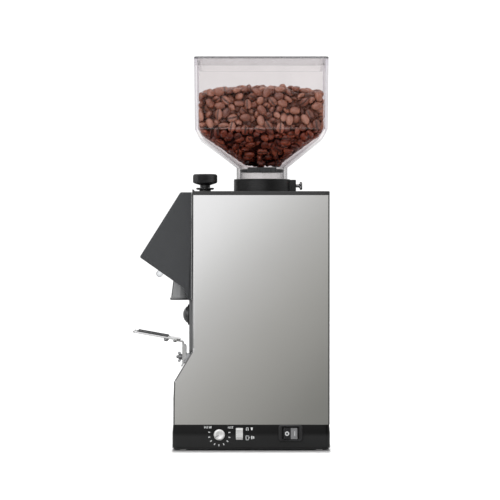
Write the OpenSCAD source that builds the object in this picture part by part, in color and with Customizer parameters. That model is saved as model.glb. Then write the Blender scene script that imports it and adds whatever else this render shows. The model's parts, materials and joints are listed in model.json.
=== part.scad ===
// Burr coffee grinder with a bean hopper, an outlet snout and a portafilter fork.
// Millimetres. X is the width, Y the depth (front is -Y), Z is up.
// The origin is on the floor, under the middle of the overall depth and width.

/* [Body] */
// Overall width of the base
base_w = 120; // [112:1:124]
// Height of the floor strip under the base (plate and feet)
floor_gap = 2.3; // [1.8:0.1:3]
// Height of the top of the base
base_top = 23; // [22.8:0.1:24]
// Thickness of the shell's sheet
sheet_t = 1.2; // [0.8:0.1:1.5]
// Height of the shell's top edge
shell_top = 226.7; // [226:0.1:227]
// Depth position of the front plate's face
plate_y = -39.2; // [-39.4:0.1:-38]

/* [Hopper] */
// Half width of the hopper at its rim
hop_half = 59.9; // [56:0.1:60]
// Height of the lid's top
hop_top = 350; // [340:1:350]
// Outer radius of the hopper's neck
neck_r = 23; // [22.5:0.1:23]
// Wall thickness of the hopper
hop_wall = 2.5; // [2:0.1:3]

/* [Burrs and motor] */
// Radius of the burrs
burr_r = 25; // [24:0.5:27]
// Gap between the burrs at rest
burr_gap = 0.6; // [0.55:0.05:1]
// Half size of the square stator
stator_h = 43; // [40:0.5:43]
// Radius of the motor shaft
shaft_r = 6; // [5:0.5:6]

/* [Controls] */
// Diameter of the grind adjusting knob
knob_d = 22; // [18:0.5:24]
// Diameter of the push button's cap
button_d = 15; // [12:0.5:15]
// Diameter of the timer dial
dial_d = 10; // [8:0.5:12]

/* [Fork] */
// Half of the gap between the fork's prongs
fork_gap = 20; // [18:0.5:22]
// Width of each prong
prong_w = 8; // [6:0.5:9]
// Slope of the prongs in degrees
fork_tilt = 10.2; // [8:0.1:12]

/* [Hidden] */
$fn = 64;
e = 0.05;

hw = base_w / 2;          // half width of the base
by0 = -53.6;              // front of the base
by1 = 86.4;               // back of the base
gy = 26.2;                // depth of the grinding axis
hy = 25.4;                // depth of the hopper's square centre
ky = -25.2;               // depth of the adjusting spindle
sx = hw - 1;              // half width of the shell
front_y = -35.5;          // shell front, upper part
back_y = 86.1;            // shell back
corner = [for (x = [-1, 1], y = [-1, 1]) [x, y]];
bolt_c = 37.5;              // motor tie bolts, from the axis
pillar_c = 33;            // chamber pillars, from the axis
lever_y = 60;             // lever pivot depth
lever_z = 181.5;          // lever pivot height
sl = (35.5 - 52.1) / (88.9 - 61.13);  // slope of the flared front, depth over height

module bx(x0, x1, y0, y1, z0, z1) { translate([x0, y0, z0]) cube([x1 - x0, y1 - y0, z1 - z0]); }
module zc(x, y, r, z0, z1) { translate([x, y, z0]) cylinder(r = r, h = z1 - z0); }
module yc(x, z, r, y0, y1) { translate([x, y1, z]) rotate([90, 0, 0]) cylinder(r = r, h = y1 - y0); }
module xc(y, z, r, x0, x1) { translate([x0, y, z]) rotate([0, 90, 0]) cylinder(r = r, h = x1 - x0); }
// outline in depth and height, drawn along the width
module yz(p, x0, x1) { translate([x0, 0, 0]) rotate([90, 0, 90]) linear_extrude(x1 - x0) polygon(p); }
// outline in width and height, drawn along the depth
module xz(p, y0, y1) { translate([0, y1, 0]) rotate([90, 0, 0]) linear_extrude(y1 - y0) polygon(p); }
module rr2(x0, x1, y0, y1, r) {
  translate([x0 + r, y0]) square([x1 - x0 - 2 * r, y1 - y0]);
  translate([x0, y0 + r]) square([x1 - x0, y1 - y0 - 2 * r]);
  for (x = [x0 + r, x1 - r], y = [y0 + r, y1 - r]) translate([x, y]) circle(r = r);
}
module rr(x0, x1, y0, y1, r, z0, z1) { translate([0, 0, z0]) linear_extrude(z1 - z0) rr2(x0, x1, y0, y1, r); }

// ---------- base ----------
base_bosses = [[-52, -44], [52, -44], [-52, 77], [52, 77]];
module base_housing() {
  color("#242424") difference() {
    union() {
      difference() {
        rr(-hw, hw, by0, by1, 4, floor_gap, base_top);
        rr(-hw + 3, hw - 3, by0 + 3, by1 - 3, 2, floor_gap - 1, base_top - 2.5);
      }
      for (b = base_bosses) zc(b[0], b[1], 4, floor_gap, base_top - 2.5 + e);
    }
    for (b = base_bosses) zc(b[0], b[1], 1.5, floor_gap - 1, 14);
    bx(-22, 22, 18, 42, base_top - 4, base_top + 1);                // wire window in the deck
    xc(-11.9, 14, 2, hw - 4, hw + 1);                               // timer shaft
    bx(hw - 4, hw + 1, 5.9 - 3.4, 5.9 + 3.4, 14.8 - 5.8, 14.8 + 5.8);
    bx(hw - 4, hw + 1, 51.3 - 9, 51.3 + 9, 15.5 - 6.2, 15.5 + 4.9);
    yc(-30, 12, 6, by1 - 4, by1 + 1);                               // cord gland seat
    for (x = [-44, 44], y = [4, 48]) zc(x, y, 1.5, base_top - 3, base_top + 1);
  }
}
foot_c = [[-44, -37], [44, -37], [-44, 70], [44, 70]];
module bottom_plate() {
  color("#2a2a2a") difference() {
    rr(-58.6, 58.6, -52.6, 85.1, 3, 1, floor_gap);
    for (b = base_bosses) zc(b[0], b[1], 1.6, 0, 3);
    for (f = foot_c) zc(f[0], f[1], 2.5, 0, 3);
    for (i = [0:6]) bx(-21, 21, 5 + 6 * i, 8 + 6 * i, 0, 3);        // air slots
  }
}
top_screw = [[-53.6, -30.2], [53.6, -30.2], [-53.6, 80], [53.6, 80]];
module housing_screws() {
  color("#b8b8b8") {
    for (b = base_bosses) { zc(b[0], b[1], 1.5, 1, 12); zc(b[0], b[1], 2.8, 0.3, 1); }
    for (s = top_screw) { zc(s[0], s[1], 1.5, shell_top - 8, 229.3); zc(s[0], s[1], 2.9, 229.1, 230.3); }
    for (x = [-44, 44], y = [4, 48]) { zc(x, y, 1.5, base_top - 2.5, base_top + 2); zc(x, y, 3, base_top + 2, base_top + 4); }
  }
}
module feet() {
  color("#111111") for (f = foot_c) {
    zc(f[0], f[1], 7, 0, 1);
    zc(f[0], f[1], 2.5, 1 - e, floor_gap);
    zc(f[0], f[1], 3.6, floor_gap, floor_gap + 1.2);
  }
}

// ---------- shell ----------
shell_out = [[-52.8, base_top], [-52.7, 46], [-52.1, 61.13], [front_y, 88.9], [front_y, shell_top], [back_y, shell_top], [back_y, base_top]];
shell_in = [[-52.8 + sheet_t, base_top - 1], [-52.7 + sheet_t, 46], [-52.1 + sheet_t, 60.83], [front_y + sheet_t, 88.6], [front_y + sheet_t, shell_top + 1], [back_y - sheet_t, shell_top + 1], [back_y - sheet_t, base_top - 1]];
module body_shell() {
  color("#c8c8c6") difference() {
    union() {
      difference() {
        yz(shell_out, -sx, sx);
        yz(shell_in, -sx + sheet_t, sx - sheet_t);
      }
      for (s = top_screw) translate([s[0] - 4.3, s[1] - 4.2, shell_top - 10]) cube([8.6, 8.4, 10]);
    }
    for (s = top_screw) zc(s[0], s[1], 1.5, shell_top - 12, shell_top + 1);
    bx(5, 22, front_y - 1, front_y + 3, 194, 216);                  // outlet duct
    yc(0, 119.7, button_d / 2 + 0.4, front_y - 1, front_y + 3);     // push button
    for (x = [-11, 11]) yc(x, 119.7, 2.5, front_y - 1, front_y + 3);
    for (x = [-20, 20], z = [222, 162]) yc(x, z, 1.5, front_y - 1, front_y + 3);
    for (x = [-20, 20], z = [96]) yc(x, z, 1.5, front_y - 1, front_y + 3);
    for (x = [-5.5, 5.5]) yc(x, 82, 1.5, -42, -34);                 // fork block screws
    for (i = [0:6], x = [-32, 8]) bx(x, x + 24, back_y - 3, back_y + 1, 40 + 7 * i, 43 + 7 * i);
  }
}
module front_plate() {
  color("#4c4c4e") {
    difference() {
      yz([[plate_y, 85], [front_y + sl * (88.9 - 85) - 0.03, 85], [front_y - 0.01, 88.95], [front_y - 0.01, shell_top], [plate_y, shell_top]], -24.7, 24.7);
      bx(5, 22, plate_y - 1, front_y + 1, 194, 216);
      yc(0, 119.7, button_d / 2 + 0.4, plate_y - 1, front_y + 1);
      for (x = [-20, 20], z = [222, 162]) yc(x, z, 1.5, plate_y - 1, front_y + 1);
      for (x = [-20, 20]) yc(x, 96, 1.5, plate_y + 1.5, front_y + 1);
    }
    for (x = [-11, 11]) difference() {
      yc(x, 119.7, 2.5, front_y - e, -27);
      yc(x, 119.7, 1.2, -33, -26);
    }
  }
}
module front_screws() {
  fi = front_y + sheet_t;
  color("#b8b8b8") {
    for (x = [-20, 20], z = [222, 162]) { yc(x, z, 1.5, -44, fi); yc(x, z, 3, fi, fi + 2); }
    for (x = [-20, 20]) { yc(x, 96, 1.5, plate_y + 1.5, fi); yc(x, 96, 3, fi, fi + 2); }
    for (x = [-5.5, 5.5]) { yc(x, 82, 1.5, -42.2, -36.5); yc(x, 82, 2.6, -36.6, -34.6); }
    for (x = [-11, 11]) { yc(x, 119.7, 1.2, -32, -19); yc(x, 119.7, 2.4, -19, -17.6); }
  }
}
module top_cover() {
  color("#3a3a3a") difference() {
    union() {
      rr(-59.5, 59.5, -36, 86.2, 3, shell_top, 230.3);
      yz([[-36, 230.2], [-36, 231.9], [-35, 231.9], [-33.4, 230.2]], -55, 55);
    }
    zc(0, gy, 23, shell_top - 1, 231);
    zc(0, ky, 5.2, shell_top - 1, 231);
    for (s = top_screw) { zc(s[0], s[1], 1.5, shell_top - 1, 231); zc(s[0], s[1], 3, 229.1, 231); }
  }
}

// ---------- hopper ----------
module hopper_collar() {
  color("#2e2e2e") difference() {
    union() {
      zc(0, gy, 25.5, 230.3, 242);
      zc(0, gy, 23, 224, 230.3 + e);
      bx(-6, 6, gy + 20, 56.9, 230.3, 241.4);
    }
    zc(0, gy, neck_r + 0.06, 232, 243);
    zc(0, gy, 17, 223, 233);
    yc(0, 235.9, 1.45, 46, 58);
  }
}
module hopper_thumbscrew() {
  color("#d0d0d0") difference() {
    union() {
      yc(0, 235.9, 1.4, gy + neck_r + 0.3, 60.4);
      yc(0, 235.9, 2, 59.5, 60.4);
      yc(0, 235.9, 3.6, 60.2, 62.6);
    }
    bx(-4.5, 4.5, 61.9, 63, 235.5, 236.3);
  }
}
module slab(h, z, r = 7) { translate([0, 0, z]) linear_extrude(0.02) rr2(-h, h, hy - h, hy + h, r, $fn = 28); }
module hop_solid(d, z0) {
  hull() {
    translate([0, gy, z0]) cylinder(r = neck_r - (d > 0 ? 3 : 0), h = 0.02, $fn = 48);
    slab(55 - d, 277.5 + d * 0.3);
    slab(59.1 - d, 285.6 + d * 0.1);
    slab(hop_half - d, hop_top - 2 - (d > 0 ? -0.5 : 0.02));
  }
}
module hopper() {
  color("#e6e2ec", 0.4) difference() {
    union() {
      hop_solid(0, 251.98);
      zc(0, gy, neck_r, 232.05, 252.1);
    }
    hop_solid(hop_wall, 252.05);
    zc(0, gy, neck_r - 3, 231, 252.2);
    bx(0, 25, gy - 20.2, gy + 20.2, 247.7, 251.1);                    // gate slot
  }
}
module hopper_gate() {
  color("#1c1c1c") {
    zc(0, gy, neck_r - 3.3, 247.9, 250.9);
    bx(0, 28, gy - 13, gy + 13, 247.9, 250.9);
    bx(25.5, 28, gy - 13, gy + 13, 250.9 - e, 252.2);
  }
}
module hopper_lid() {
  s = hop_half - hop_wall - 0.8;
  color("#e6e2ec", 0.5) {
    rr(-hop_half, hop_half, hy - hop_half, hy + hop_half, 7, hop_top - 2, hop_top);
    difference() {
      rr(-s, s, hy - s, hy + s, 5, hop_top - 8, hop_top - 2 + e);
      rr(-s + 1.8, s - 1.8, hy - s + 1.8, hy + s - 1.8, 4, hop_top - 9, hop_top - 2);
    }
  }
}
module coffee_beans() {
  color("#5a2c18") {
    hull() {
      translate([0, gy, 251.9]) cylinder(r = neck_r - 3.6, h = 0.02, $fn = 32);
      slab(51.3, 278.6, 6);
      slab(55.7, 286.8, 6);
      slab(56.2, 322.9, 6);
    }
    translate([0, gy, 251.15]) cylinder(r = neck_r - 3.6, h = 0.76, $fn = 32);
  }
}

// ---------- snout ----------
snout_out = [[-36.05, 229.8], [-47.1, 229.8], [-48.5, 228.9], [-83.5, 172.9], [-83.7, 171.9], [-83.1, 171.2],
  [-45.6, 144.9], [-43.2, 141.4], [-41.4, 136.6], [-40, 133], [-36.05, 133]];
snout_in = [[-35.5, 227.8], [-46.8, 227.8], [-81.1, 172.35], [-43.4, 145.9], [-41.4, 142.6], [-39.6, 137.5], [-39.6, 130], [-35.5, 130]];
module snout_cover() {
  color("#4a4b4d") difference() {
    union() {
      difference() {
        yz(snout_out, -27, 27);
        yz(snout_in, -25, 25);
      }
      for (x = [-1, 1]) {
        yc(x * 20, 222, 3.4, -46.5, plate_y);
        yc(x * 20, 162, 3.4, -50, plate_y);
        bx(x > 0 ? 20 : -26, x > 0 ? 26 : -20, -46.5, plate_y - 0.4, 221, 223);
        bx(x > 0 ? 20 : -26, x > 0 ? 26 : -20, -50, plate_y - 0.4, 161, 163);
      }
    }
    bx(-16.5, 16.5, -59, -35, 128, 156);                            // the spout passes here
    for (x = [-20, 20], z = [222, 162]) yc(x, z, 1.5, -44, -36);
    translate([0, -65, 158.56]) rotate([-35.15, 0, 0]) translate([0, 0, -4]) cylinder(r = 3, h = 8);
  }
}
module spout_solid(d) {
  // d is 0 for the outside and the wall thickness for the inside
  q = d > 0 ? 1 : 0;
  intersection() {
    yz([[-40.1 - d, 132 + (1 - q)], [-56.1 + d, 132 + (1 - q)], [-53.6 + d, 152], [-53.6 + d, 160 + 2 * q], [-40.1 - d, 160 + 2 * q]], -30, 30);
    rr(-14 + d, 14 - d, -56.5 + d, -40.1 - d, 7.5 - d, 131, 163);
  }
  intersection() {
    yz([[-40.1 - d, 158 - q], [-53.6 + d, 158 - q], [-60 + d, 176], [-60 + d, 192], [-50.5 + d, 216 - d], [-40.1 - d, 216 - d]], -30, 30);
    xz([[-14 + d, 157 - q], [14 - d, 157 - q], [14 - d, 170], [23.4 - d, 186], [23.4 - d, 216], [-14 + d, 216]], -70, -30);
  }
}
module spout() {
  color("#8a8b8c") difference() {
    union() {
      spout_solid(0);
      rr(-14.6, 14.6, -56.7, -39.5, 8, 133, 135.2);
    }
    spout_solid(1.5);
    rr(-12.5, 12.5, -54.6, -41.6, 6, 131, 134);
    bx(6.8, 20.2, -43, -38, 196, 214);                              // from the duct
  }
}
module work_lamp_lens() {
  color("#d8dadc", 0.6) translate([0, -65, 158.56]) rotate([-35.15, 0, 0]) {
    translate([0, 0, -2.5]) cylinder(r = 3, h = 6);
    translate([0, 0, -2.5]) sphere(r = 3);
  }
}
module outlet_duct() {
  color("#c9b458") difference() {
    bx(5, 22, -40.1, -21.8, 194, 216);
    bx(6.8, 20.2, -41, -21, 196, 214);
    bx(6.3, 20.7, -39.1, -38.1, 195.5, 214.5);
  }
}
module anti_clump_flap() {
  color("#b0472e") difference() {
    bx(6.3, 20.7, -39.1, -38.1, 195.5, 214.5);
    for (z = [199, 203, 207, 211]) bx(7.6, 19.4, -40, -37, z, z + 0.7);
    bx(13.2, 13.8, -40, -37, 198, 213);
  }
}

// ---------- grinding chamber ----------
ub = 209.3;                                                         // underside of the upper burr
module grind_chamber() {
  color("#9a9da0") difference() {
    union() {
      zc(0, gy, 42, 192, 224);
      for (c = corner) zc(c[0] * pillar_c, gy + c[1] * pillar_c, 7, 192, 198);
      bx(4.6, 22.4, -21.8, gy - 30, 193.5, 217.5);
    }
    zc(0, gy, 33, 197, 216 + e);
    zc(0, gy, 38, 216, 225);
    zc(0, gy, shaft_r + 1, 191, 198);
    for (c = corner) zc(c[0] * pillar_c, gy + c[1] * pillar_c, 2, 191, 199);
    bx(7, 20, -23, gy - 20, 197, 213);                              // outlet
  }
}
module upper_burr_carrier() {
  color("#8f9194") difference() {
    zc(0, gy, 38, 216, 224);
    zc(0, gy, 17, 215, 225);
    for (a = [30, 150, 270]) translate([0, gy, 0]) rotate([0, 0, a]) zc(34, 0, 2, 220, 225);
  }
}
module burr(z0, z1, cut_top) {
  difference() {
    zc(0, gy, burr_r, z0, z1);
    zc(0, gy, 15, z0 - 1, z1 + 1);
    for (a = [0:20:340]) translate([0, gy, cut_top ? z1 : z0]) rotate([0, 0, a]) translate([17, 3, -0.9]) rotate([0, 0, 24]) cube([14, 1.6, 1.8]);
    for (a = [10:120:250]) translate([0, gy, 0]) rotate([0, 0, a]) zc(20, 0, 1.7, z0 - 1, z1 + 1);
  }
}
module upper_burr() { color("#c2c4c6") burr(ub, 216, false); }
module lower_burr() { color("#c2c4c6") burr(202, ub - burr_gap, true); }
module lower_burr_carrier() {
  color("#8f9194") difference() {
    union() {
      zc(0, gy, 27, 198.5, 202);
      zc(0, gy, 14.6, 198.5, 205.5);
      for (a = [0:60:300]) translate([0, gy, 0]) rotate([0, 0, a]) bx(26, 31.5, -1.5, 1.5, 198.5, 205);
    }
    zc(0, gy, shaft_r, 197, 207);
  }
}
module burr_centre_nut() {
  color("#d0d0d0") difference() {
    union() {
      translate([0, gy, 205.5]) cylinder(r = 8, h = 4, $fn = 6);
      zc(0, gy, 6, 209.4, 212);
    }
    zc(0, gy, 4, 204, 211);
  }
}

// ---------- motor ----------
module motor_shaft() {
  color("#b4b6b8") {
    zc(0, gy, shaft_r, 52, 205.5);
    zc(0, gy, 4, 205.5 - e, 211);
    zc(0, gy, 11, 186.35, 189);
  }
}
module rotor() {
  color("#777a7c") difference() {
    union() {
      zc(0, gy, 24.1, 98, 138);
      for (z = [94, 138]) difference() { zc(0, gy, 22, z, z + 4); zc(0, gy, 16, z - 1, z + 5); }
    }
    zc(0, gy, shaft_r, 90, 145);
  }
}
module cooling_fan() {
  color("#2b2b2b") difference() {
    union() {
      zc(0, gy, 11, 56, 67.4);
      zc(0, gy, 37, 56, 57.6);
      for (a = [0:40:320]) translate([0, gy, 0]) rotate([0, 0, a]) bx(10, 36.5, -0.8, 0.8, 57.5, 67);
    }
    zc(0, gy, shaft_r, 55, 69);
  }
}
module stator() {
  color("#6d7072") difference() {
    rr(-stator_h, stator_h, gy - stator_h, gy + stator_h, 6, 96, 140);
    zc(0, gy, 24.5, 95, 141);
    for (a = [0:30:330]) translate([0, gy, 0]) rotate([0, 0, a]) bx(26.5, 37, -3.2, 3.2, 95, 141);
    for (c = corner) zc(c[0] * bolt_c, gy + c[1] * bolt_c, 2, 95, 141);
  }
}
module stator_windings() {
  color("#b0622a") {
    for (z = [84, 140]) difference() { zc(0, gy, 38, z, z + 12); zc(0, gy, 27, z - 1, z + 13); }
    for (a = [0:30:330]) translate([0, gy, 0]) rotate([0, 0, a]) bx(27.5, 36.5, -2.9, 2.9, 95, 141);
  }
}
module shield(z0, dir) {
  // a motor end shield that opens at z0 and closes 20 mm further, upwards (1) or downwards (-1)
  translate([0, gy, z0]) scale([1, 1, dir]) difference() {
    union() {
      difference() {
        rr(-stator_h, stator_h, -stator_h, stator_h, 6, 0, 20);
        zc(0, 0, 39.5, -1, 16);
        for (a = [20:40:340]) rotate([0, 0, a]) bx(36, 70, -5, 5, 3, 13);
      }
      zc(0, 0, 19, 15, 28);
    }
    zc(0, 0, 14, 20, 28 + e);
    zc(0, 0, shaft_r + 1.5, 10, 29);
    for (c = corner) zc(c[0] * bolt_c, c[1] * bolt_c, 2, -1, 21);
  }
}
module motor_upper_shield() { color("#9a9da0") shield(140, 1); }
module motor_lower_shield() { color("#9a9da0") mirror([0, 0, 1]) translate([0, 0, -192]) shield(96, 1); }
module motor_tie_bolts() {
  color("#b8b8b8") for (c = corner) {
    x = c[0] * bolt_c; y = gy + c[1] * bolt_c;
    zc(x, y, 2, 73, 177.7);
    zc(x, y, 4, 160, 172);
    zc(x, y, 3.6, 175, 177.7);
    zc(x, y, 3.6, 73, 76);
  }
}
module shaft_bearings() {
  color("#cfd1d3") for (z = [160, 68]) difference() {
    zc(0, gy, 14, z, z + 8);
    zc(0, gy, shaft_r + 0.06, z - 1, z + 9);
    difference() { zc(0, gy, 11.6, z + 7.4, z + 9); zc(0, gy, 8.4, z + 7, z + 9); }
    difference() { zc(0, gy, 11.6, z - 1, z + 0.6); zc(0, gy, 8.4, z - 1, z + 1); }
  }
}

// ---------- grind adjustment ----------
module thrust_bearing() {
  color("#cfd1d3") difference() {
    zc(0, gy, 12, 183.4, 186.3);
    zc(0, gy, shaft_r + 0.3, 183, 187);
    difference() { zc(0, gy, 13, 184.5, 185.2); zc(0, gy, 11.2, 184, 186); }
  }
}
module adjusting_lever() {
  color("#7f8386") difference() {
    union() {
      xc(lever_y, lever_z, 5.5, -8.8, 8.8);
      bx(-7, 7, gy + 11, lever_y, 180, 183);
      zc(0, gy, 15, 180, 183);
      bx(-7, 7, -18, gy - 11, 180, 183);
      bx(-9.5, 9.5, -32.6, -16, 180, 183);
      for (x = [-11.6, 8.8]) bx(x, x + 2.8, gy - 1.2, gy + 1.2, 183 - e, 183.3);
    }
    xc(lever_y, lever_z, 2.56, -10, 10);
    zc(0, gy, 8.6, 179, 184);
    bx(-5.3, 5.3, -33, ky + 5.4, 179, 184);
  }
}
module lever_pivot_pin() {
  color("#cfd1d3") { xc(lever_y, lever_z, 2.5, -15, 15); xc(lever_y, lever_z, 4, -16, -14); xc(lever_y, lever_z, 4, 14, 16); }
}
module adjusting_spindle() {
  color("#b8b8b8") { zc(0, ky, 3, 168, 240); zc(0, ky, 5, 221, 224); }
}
module adjusting_nut() {
  color("#c2a24a") difference() {
    union() {
      zc(0, ky, 7.8, 177.2, 179.6);
      bx(-5, 5, ky - 5, ky + 5, 179.5, 183.5);
      zc(0, ky, 7.8, 183.4, 186.6);
    }
    zc(0, ky, 3.06, 176, 188);
  }
}
module adjusting_knob() {
  color("#1d1d1d") difference() {
    union() {
      translate([0, ky, 0]) rotate_extrude() polygon([[0, 234.4], [4.6, 234.4], [4.6, 236.6], [7, 237.3], [knob_d / 2, 238.6],
        [knob_d / 2, 245.6], [knob_d / 2 - 1, 246.6], [0, 246.6]]);
    }
    zc(0, ky, 3, 234, 240);
  }
}
module spindle_bush() {
  color("#2a2a2a") difference() {
    union() {
      zc(0, ky, 5.2, 225, 232.6);
      translate([0, ky, 0]) rotate_extrude() polygon([[0, 232.4], [7, 232.4], [8.1, 233], [8.1, 234.2], [0, 234.2]]);
      translate([0, ky, 225]) cylinder(r = 9, h = 1.7, $fn = 6);
    }
    zc(0, ky, 3.06, 224, 235);
  }
}

// ---------- chassis ----------
module chassis() {
  color("#8c8f91") difference() {
    union() {
      bx(-52, 52, -31, 70, 172, 175);
      for (s = [-1, 1]) {
        bx(s > 0 ? 50 : -52, s > 0 ? 52 : -50, -4, 56, base_top, 172 + e);
        bx(s > 0 ? 38 : -50, s > 0 ? 50 : -38, -4, 56, base_top, base_top + 2);
        bx(s > 0 ? 9.2 : -13, s > 0 ? 13 : -9.2, 54, 66, 175 - e, 187);
      }
    }
    for (s = [-1, 1]) bx(s > 0 ? 49 : -53, s > 0 ? 53 : -49, 12, 40, 50, 150);
    zc(0, gy, 9, 171, 176);
    zc(0, ky, 3.06, 171, 176);
    xc(lever_y, lever_z, 2.5, -14, 14);
    for (c = corner) {
      zc(c[0] * bolt_c, gy + c[1] * bolt_c, 2, 171, 176);
      zc(c[0] * pillar_c, gy + c[1] * pillar_c, 2, 171, 176);
    }
    for (x = [-44, 44], y = [4, 48]) zc(x, y, 1.5, base_top - 1, base_top + 3);
  }
}
module chamber_dampers() {
  color("#202020") for (c = corner) difference() {
    zc(c[0] * pillar_c, gy + c[1] * pillar_c, 6, 188, 192);
    zc(c[0] * pillar_c, gy + c[1] * pillar_c, 2, 187, 193);
  }
}
module chamber_pillars() {
  color("#b8b8b8") for (c = corner) {
    x = c[0] * pillar_c; y = gy + c[1] * pillar_c;
    if (c[1] * c[1] > 0) {
      zc(x, y, 2, 172, 200);
      translate([x, y, 178]) cylinder(r = 5, h = 10, $fn = 6);
      zc(x, y, 2.5, 175, 178);
      zc(x, y, 3.6, 198, 201);
    }
  }
}

// ---------- button ----------
module push_button() {
  r = button_d / 2;
  color("#303133") difference() {
    union() {
      yc(0, 119.7, r, -41.6, -36.4);
      intersection() {
        translate([0, -45.2 + 9.5, 119.7]) sphere(r = 9.5);
        yc(0, 119.7, r, -46, -41.5);
      }
      yc(0, 119.7, 1.5, -38, -24.5);
    }
    difference() { yc(0, 119.7, r - 1.6, -39.5, -36); yc(0, 119.7, 3, -40, -35); }
  }
}
module button_bezel() {
  color("#303133") difference() {
    yc(0, 119.7, 9.4, -40.8, plate_y);
    yc(0, 119.7, button_d / 2 + 0.3, -42, -38);
  }
}
module microswitch() {
  color("#15161a") difference() {
    union() {
      bx(-14, 14, -27, -19, 113.5, 126);
      for (x = [-8, 0, 8]) bx(x - 1.6, x + 1.6, -23.4, -22.8, 107, 113.6);
    }
    for (x = [-11, 11]) yc(x, 119.7, 1.2, -28, -18);
    yc(0, 119.7, 1.56, -28, -20.5);
  }
}

// ---------- fork ----------
// prong plan in its own plane: u is the distance from the bend towards the tip
module fork_plan() {
  L = 45.9;
  difference() {
    rr2(-fork_gap - prong_w, fork_gap + prong_w, -L, -2.5, 3.5);
    rr2(-fork_gap, fork_gap, -L - 20, -12, 8);
  }
}
module fork_place(z) { translate([0, -44.9, 96.05]) rotate([-fork_tilt, 0, 0]) translate([0, 0, z]) children(); }
module portafilter_fork() {
  color("#d9dadb") difference() {
    union() {
      fork_place(0) linear_extrude(1.6) fork_plan();
      yz([[-53.7, 96.31], [-46.2, 94.96], [-45.8, 94.5], [-45.8, 75.7], [-47.15, 73.45], [-45.8, 72.65], [-44.2, 75.3], [-44.2, 94.6], [-44.6, 95.7],
        [-45.6, 96.26], [-53.46, 97.68]], -10, 10);
      for (x = [-10, 8.7]) bx(x, x + 1.3, -44.4, -42.1, 79, 93);
      for (x = [-5.5, 5.5]) fork_place(-2.5) translate([x, -7.4, 0]) cylinder(r = 1.7, h = 1.3);
    }
    bx(-2.1, 2.1, -47, -43, 76, 81.5);
    for (z = [76, 81.5]) yc(0, z, 2.1, -47, -43);
    for (x = [-1, 1]) fork_place(-1) translate([x * (fork_gap + prong_w / 2), -15.2, 0]) cylinder(r = 1.2, h = 4);
  }
}
module fork_pads() {
  color("#2b2b2c") fork_place(1.6) for (x = [-1, 1]) {
    cx = x * (fork_gap + prong_w / 2);
    linear_extrude(1) rr2(cx - 3.2, cx + 3.2, -42.2, -13.8, 2.4);
    translate([cx, -15.2, -1.6]) cylinder(r = 1.2, h = 1.7);
    translate([cx, -15.2, -2.6]) cylinder(r = 2, h = 1);
  }
}
module fork_block() {
  color("#9b9c9d") difference() {
    yz([[-44.1, 75.6], [-44.1, 84.9], [front_y + sl * (88.9 - 84.9) - 0.04, 84.9], [-43.49, 75.6]], -8.4, 8.4);
    yc(0, 81.5, 2.05, -46, -41.4);
    for (x = [-5.5, 5.5]) yc(x, 82, 1.5, -42.2, -34);
  }
}
module fork_clamp_screw() {
  color("#a8a9aa") {
    yc(0, 81.5, 2, -47, -41.6);
    yc(0, 81.5, 2.7, -49.4, -45.9);
    yc(0, 81.5, 1.3, -51.2, -49.3);
    for (s = [-1, 1]) translate([0, 0, 81.5]) rotate([0, s * 90, 0]) bx(2, 4.9, -49.9, -46.9, -1.1, 1.1);
  }
}

// ---------- side controls ----------
module timer_knob() {
  color("#d8d8d6") difference() {
    union() {
      xc(-11.9, 14, dial_d / 2, hw + 0.3, hw + 2.4);
      xc(-11.9, 14, 1.5, 52, hw + 0.4);
    }
    bx(hw + 1.9, hw + 3, -12.3, -11.5, 14.5, 19.5);
  }
}
module timer_potentiometer() {
  color("#3c4a3c") difference() {
    union() {
      xc(-11.9, 14, 6.3, 50, 56);
      xc(-11.9, 14, 3.4, 56 - e, 57);
      bx(51, 52, -16.4, -7.4, 3.5, 14);
    }
    xc(-11.9, 14, 1.56, 51, 58);
  }
}
module selector_rocker() {
  color("#d5d5d4") difference() {
    union() {
      yc(57, 14.8, 1.4, 5.9 - 3.1, 5.9 + 3.1);                      // pivot barrel
      xz([[57, 9.7], [59.9, 9.4], [60.9, 11.6], [60.5, 14.8], [60.9, 18], [59.9, 20.2], [57, 19.9]], 5.9 - 3.1, 5.9 + 3.1);
    }
    for (i = [0:3]) bx(60.3, 62, 2, 10, 11.7 + i * 1.9, 12.1 + i * 1.9);
  }
}
module selector_switch() {
  color("#202124") {
    difference() {
      bx(48, 56.2, 1.5, 10.3, 8.2, 20.4);
      yc(57, 14.8, 1.6, 1, 11);
    }
    for (z = [10.5, 14.3, 18]) bx(43.5, 48 + e, 5, 6.6, z - 0.4, z + 0.4);
  }
}
module power_rocker() {
  color("#19191a") union() {
    zc(58.5, 51.3, 1.2, 9.35, 10.1);                                // pivot
    translate([58.5, 51.3, 0]) rotate([0, 0, 7]) translate([0, 0, 10]) linear_extrude(10.2)
      polygon([[2.6, -6.6], [1.9, 0], [2.6, 6.6], [-1.5, 5.8], [-1.5, -5.8]]);
  }
}
module power_switch() {
  color("#1d1d1e") difference() {
    union() {
      rr_x(hw, hw + 1, 51.3 - 10.7, 51.3 + 10.7, 15.5 - 7.1, 15.5 + 7.1);
      bx(46, hw, 51.3 - 9, 51.3 + 9, 15.5 - 6.2, 15.5 + 4.9);
      for (y = [45, 51.3, 57.6]) bx(40, 46 + e, y - 0.4, y + 0.4, 11, 17);
    }
    bx(55.4, 63, 51.3 - 7.5, 51.3 + 7.5, 9.9, 21.1);
    zc(58.5, 51.3, 1.3, 9, 10);
  }
}
module rr_x(x0, x1, y0, y1, z0, z1) {
  r = 1.6;
  bx(x0, x1, y0 + r, y1 - r, z0, z1);
  bx(x0, x1, y0, y1, z0 + r, z1 - r);
  for (y = [y0 + r, y1 - r], z = [z0 + r, z1 - r]) xc(y, z, r, x0, x1);
}

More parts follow.
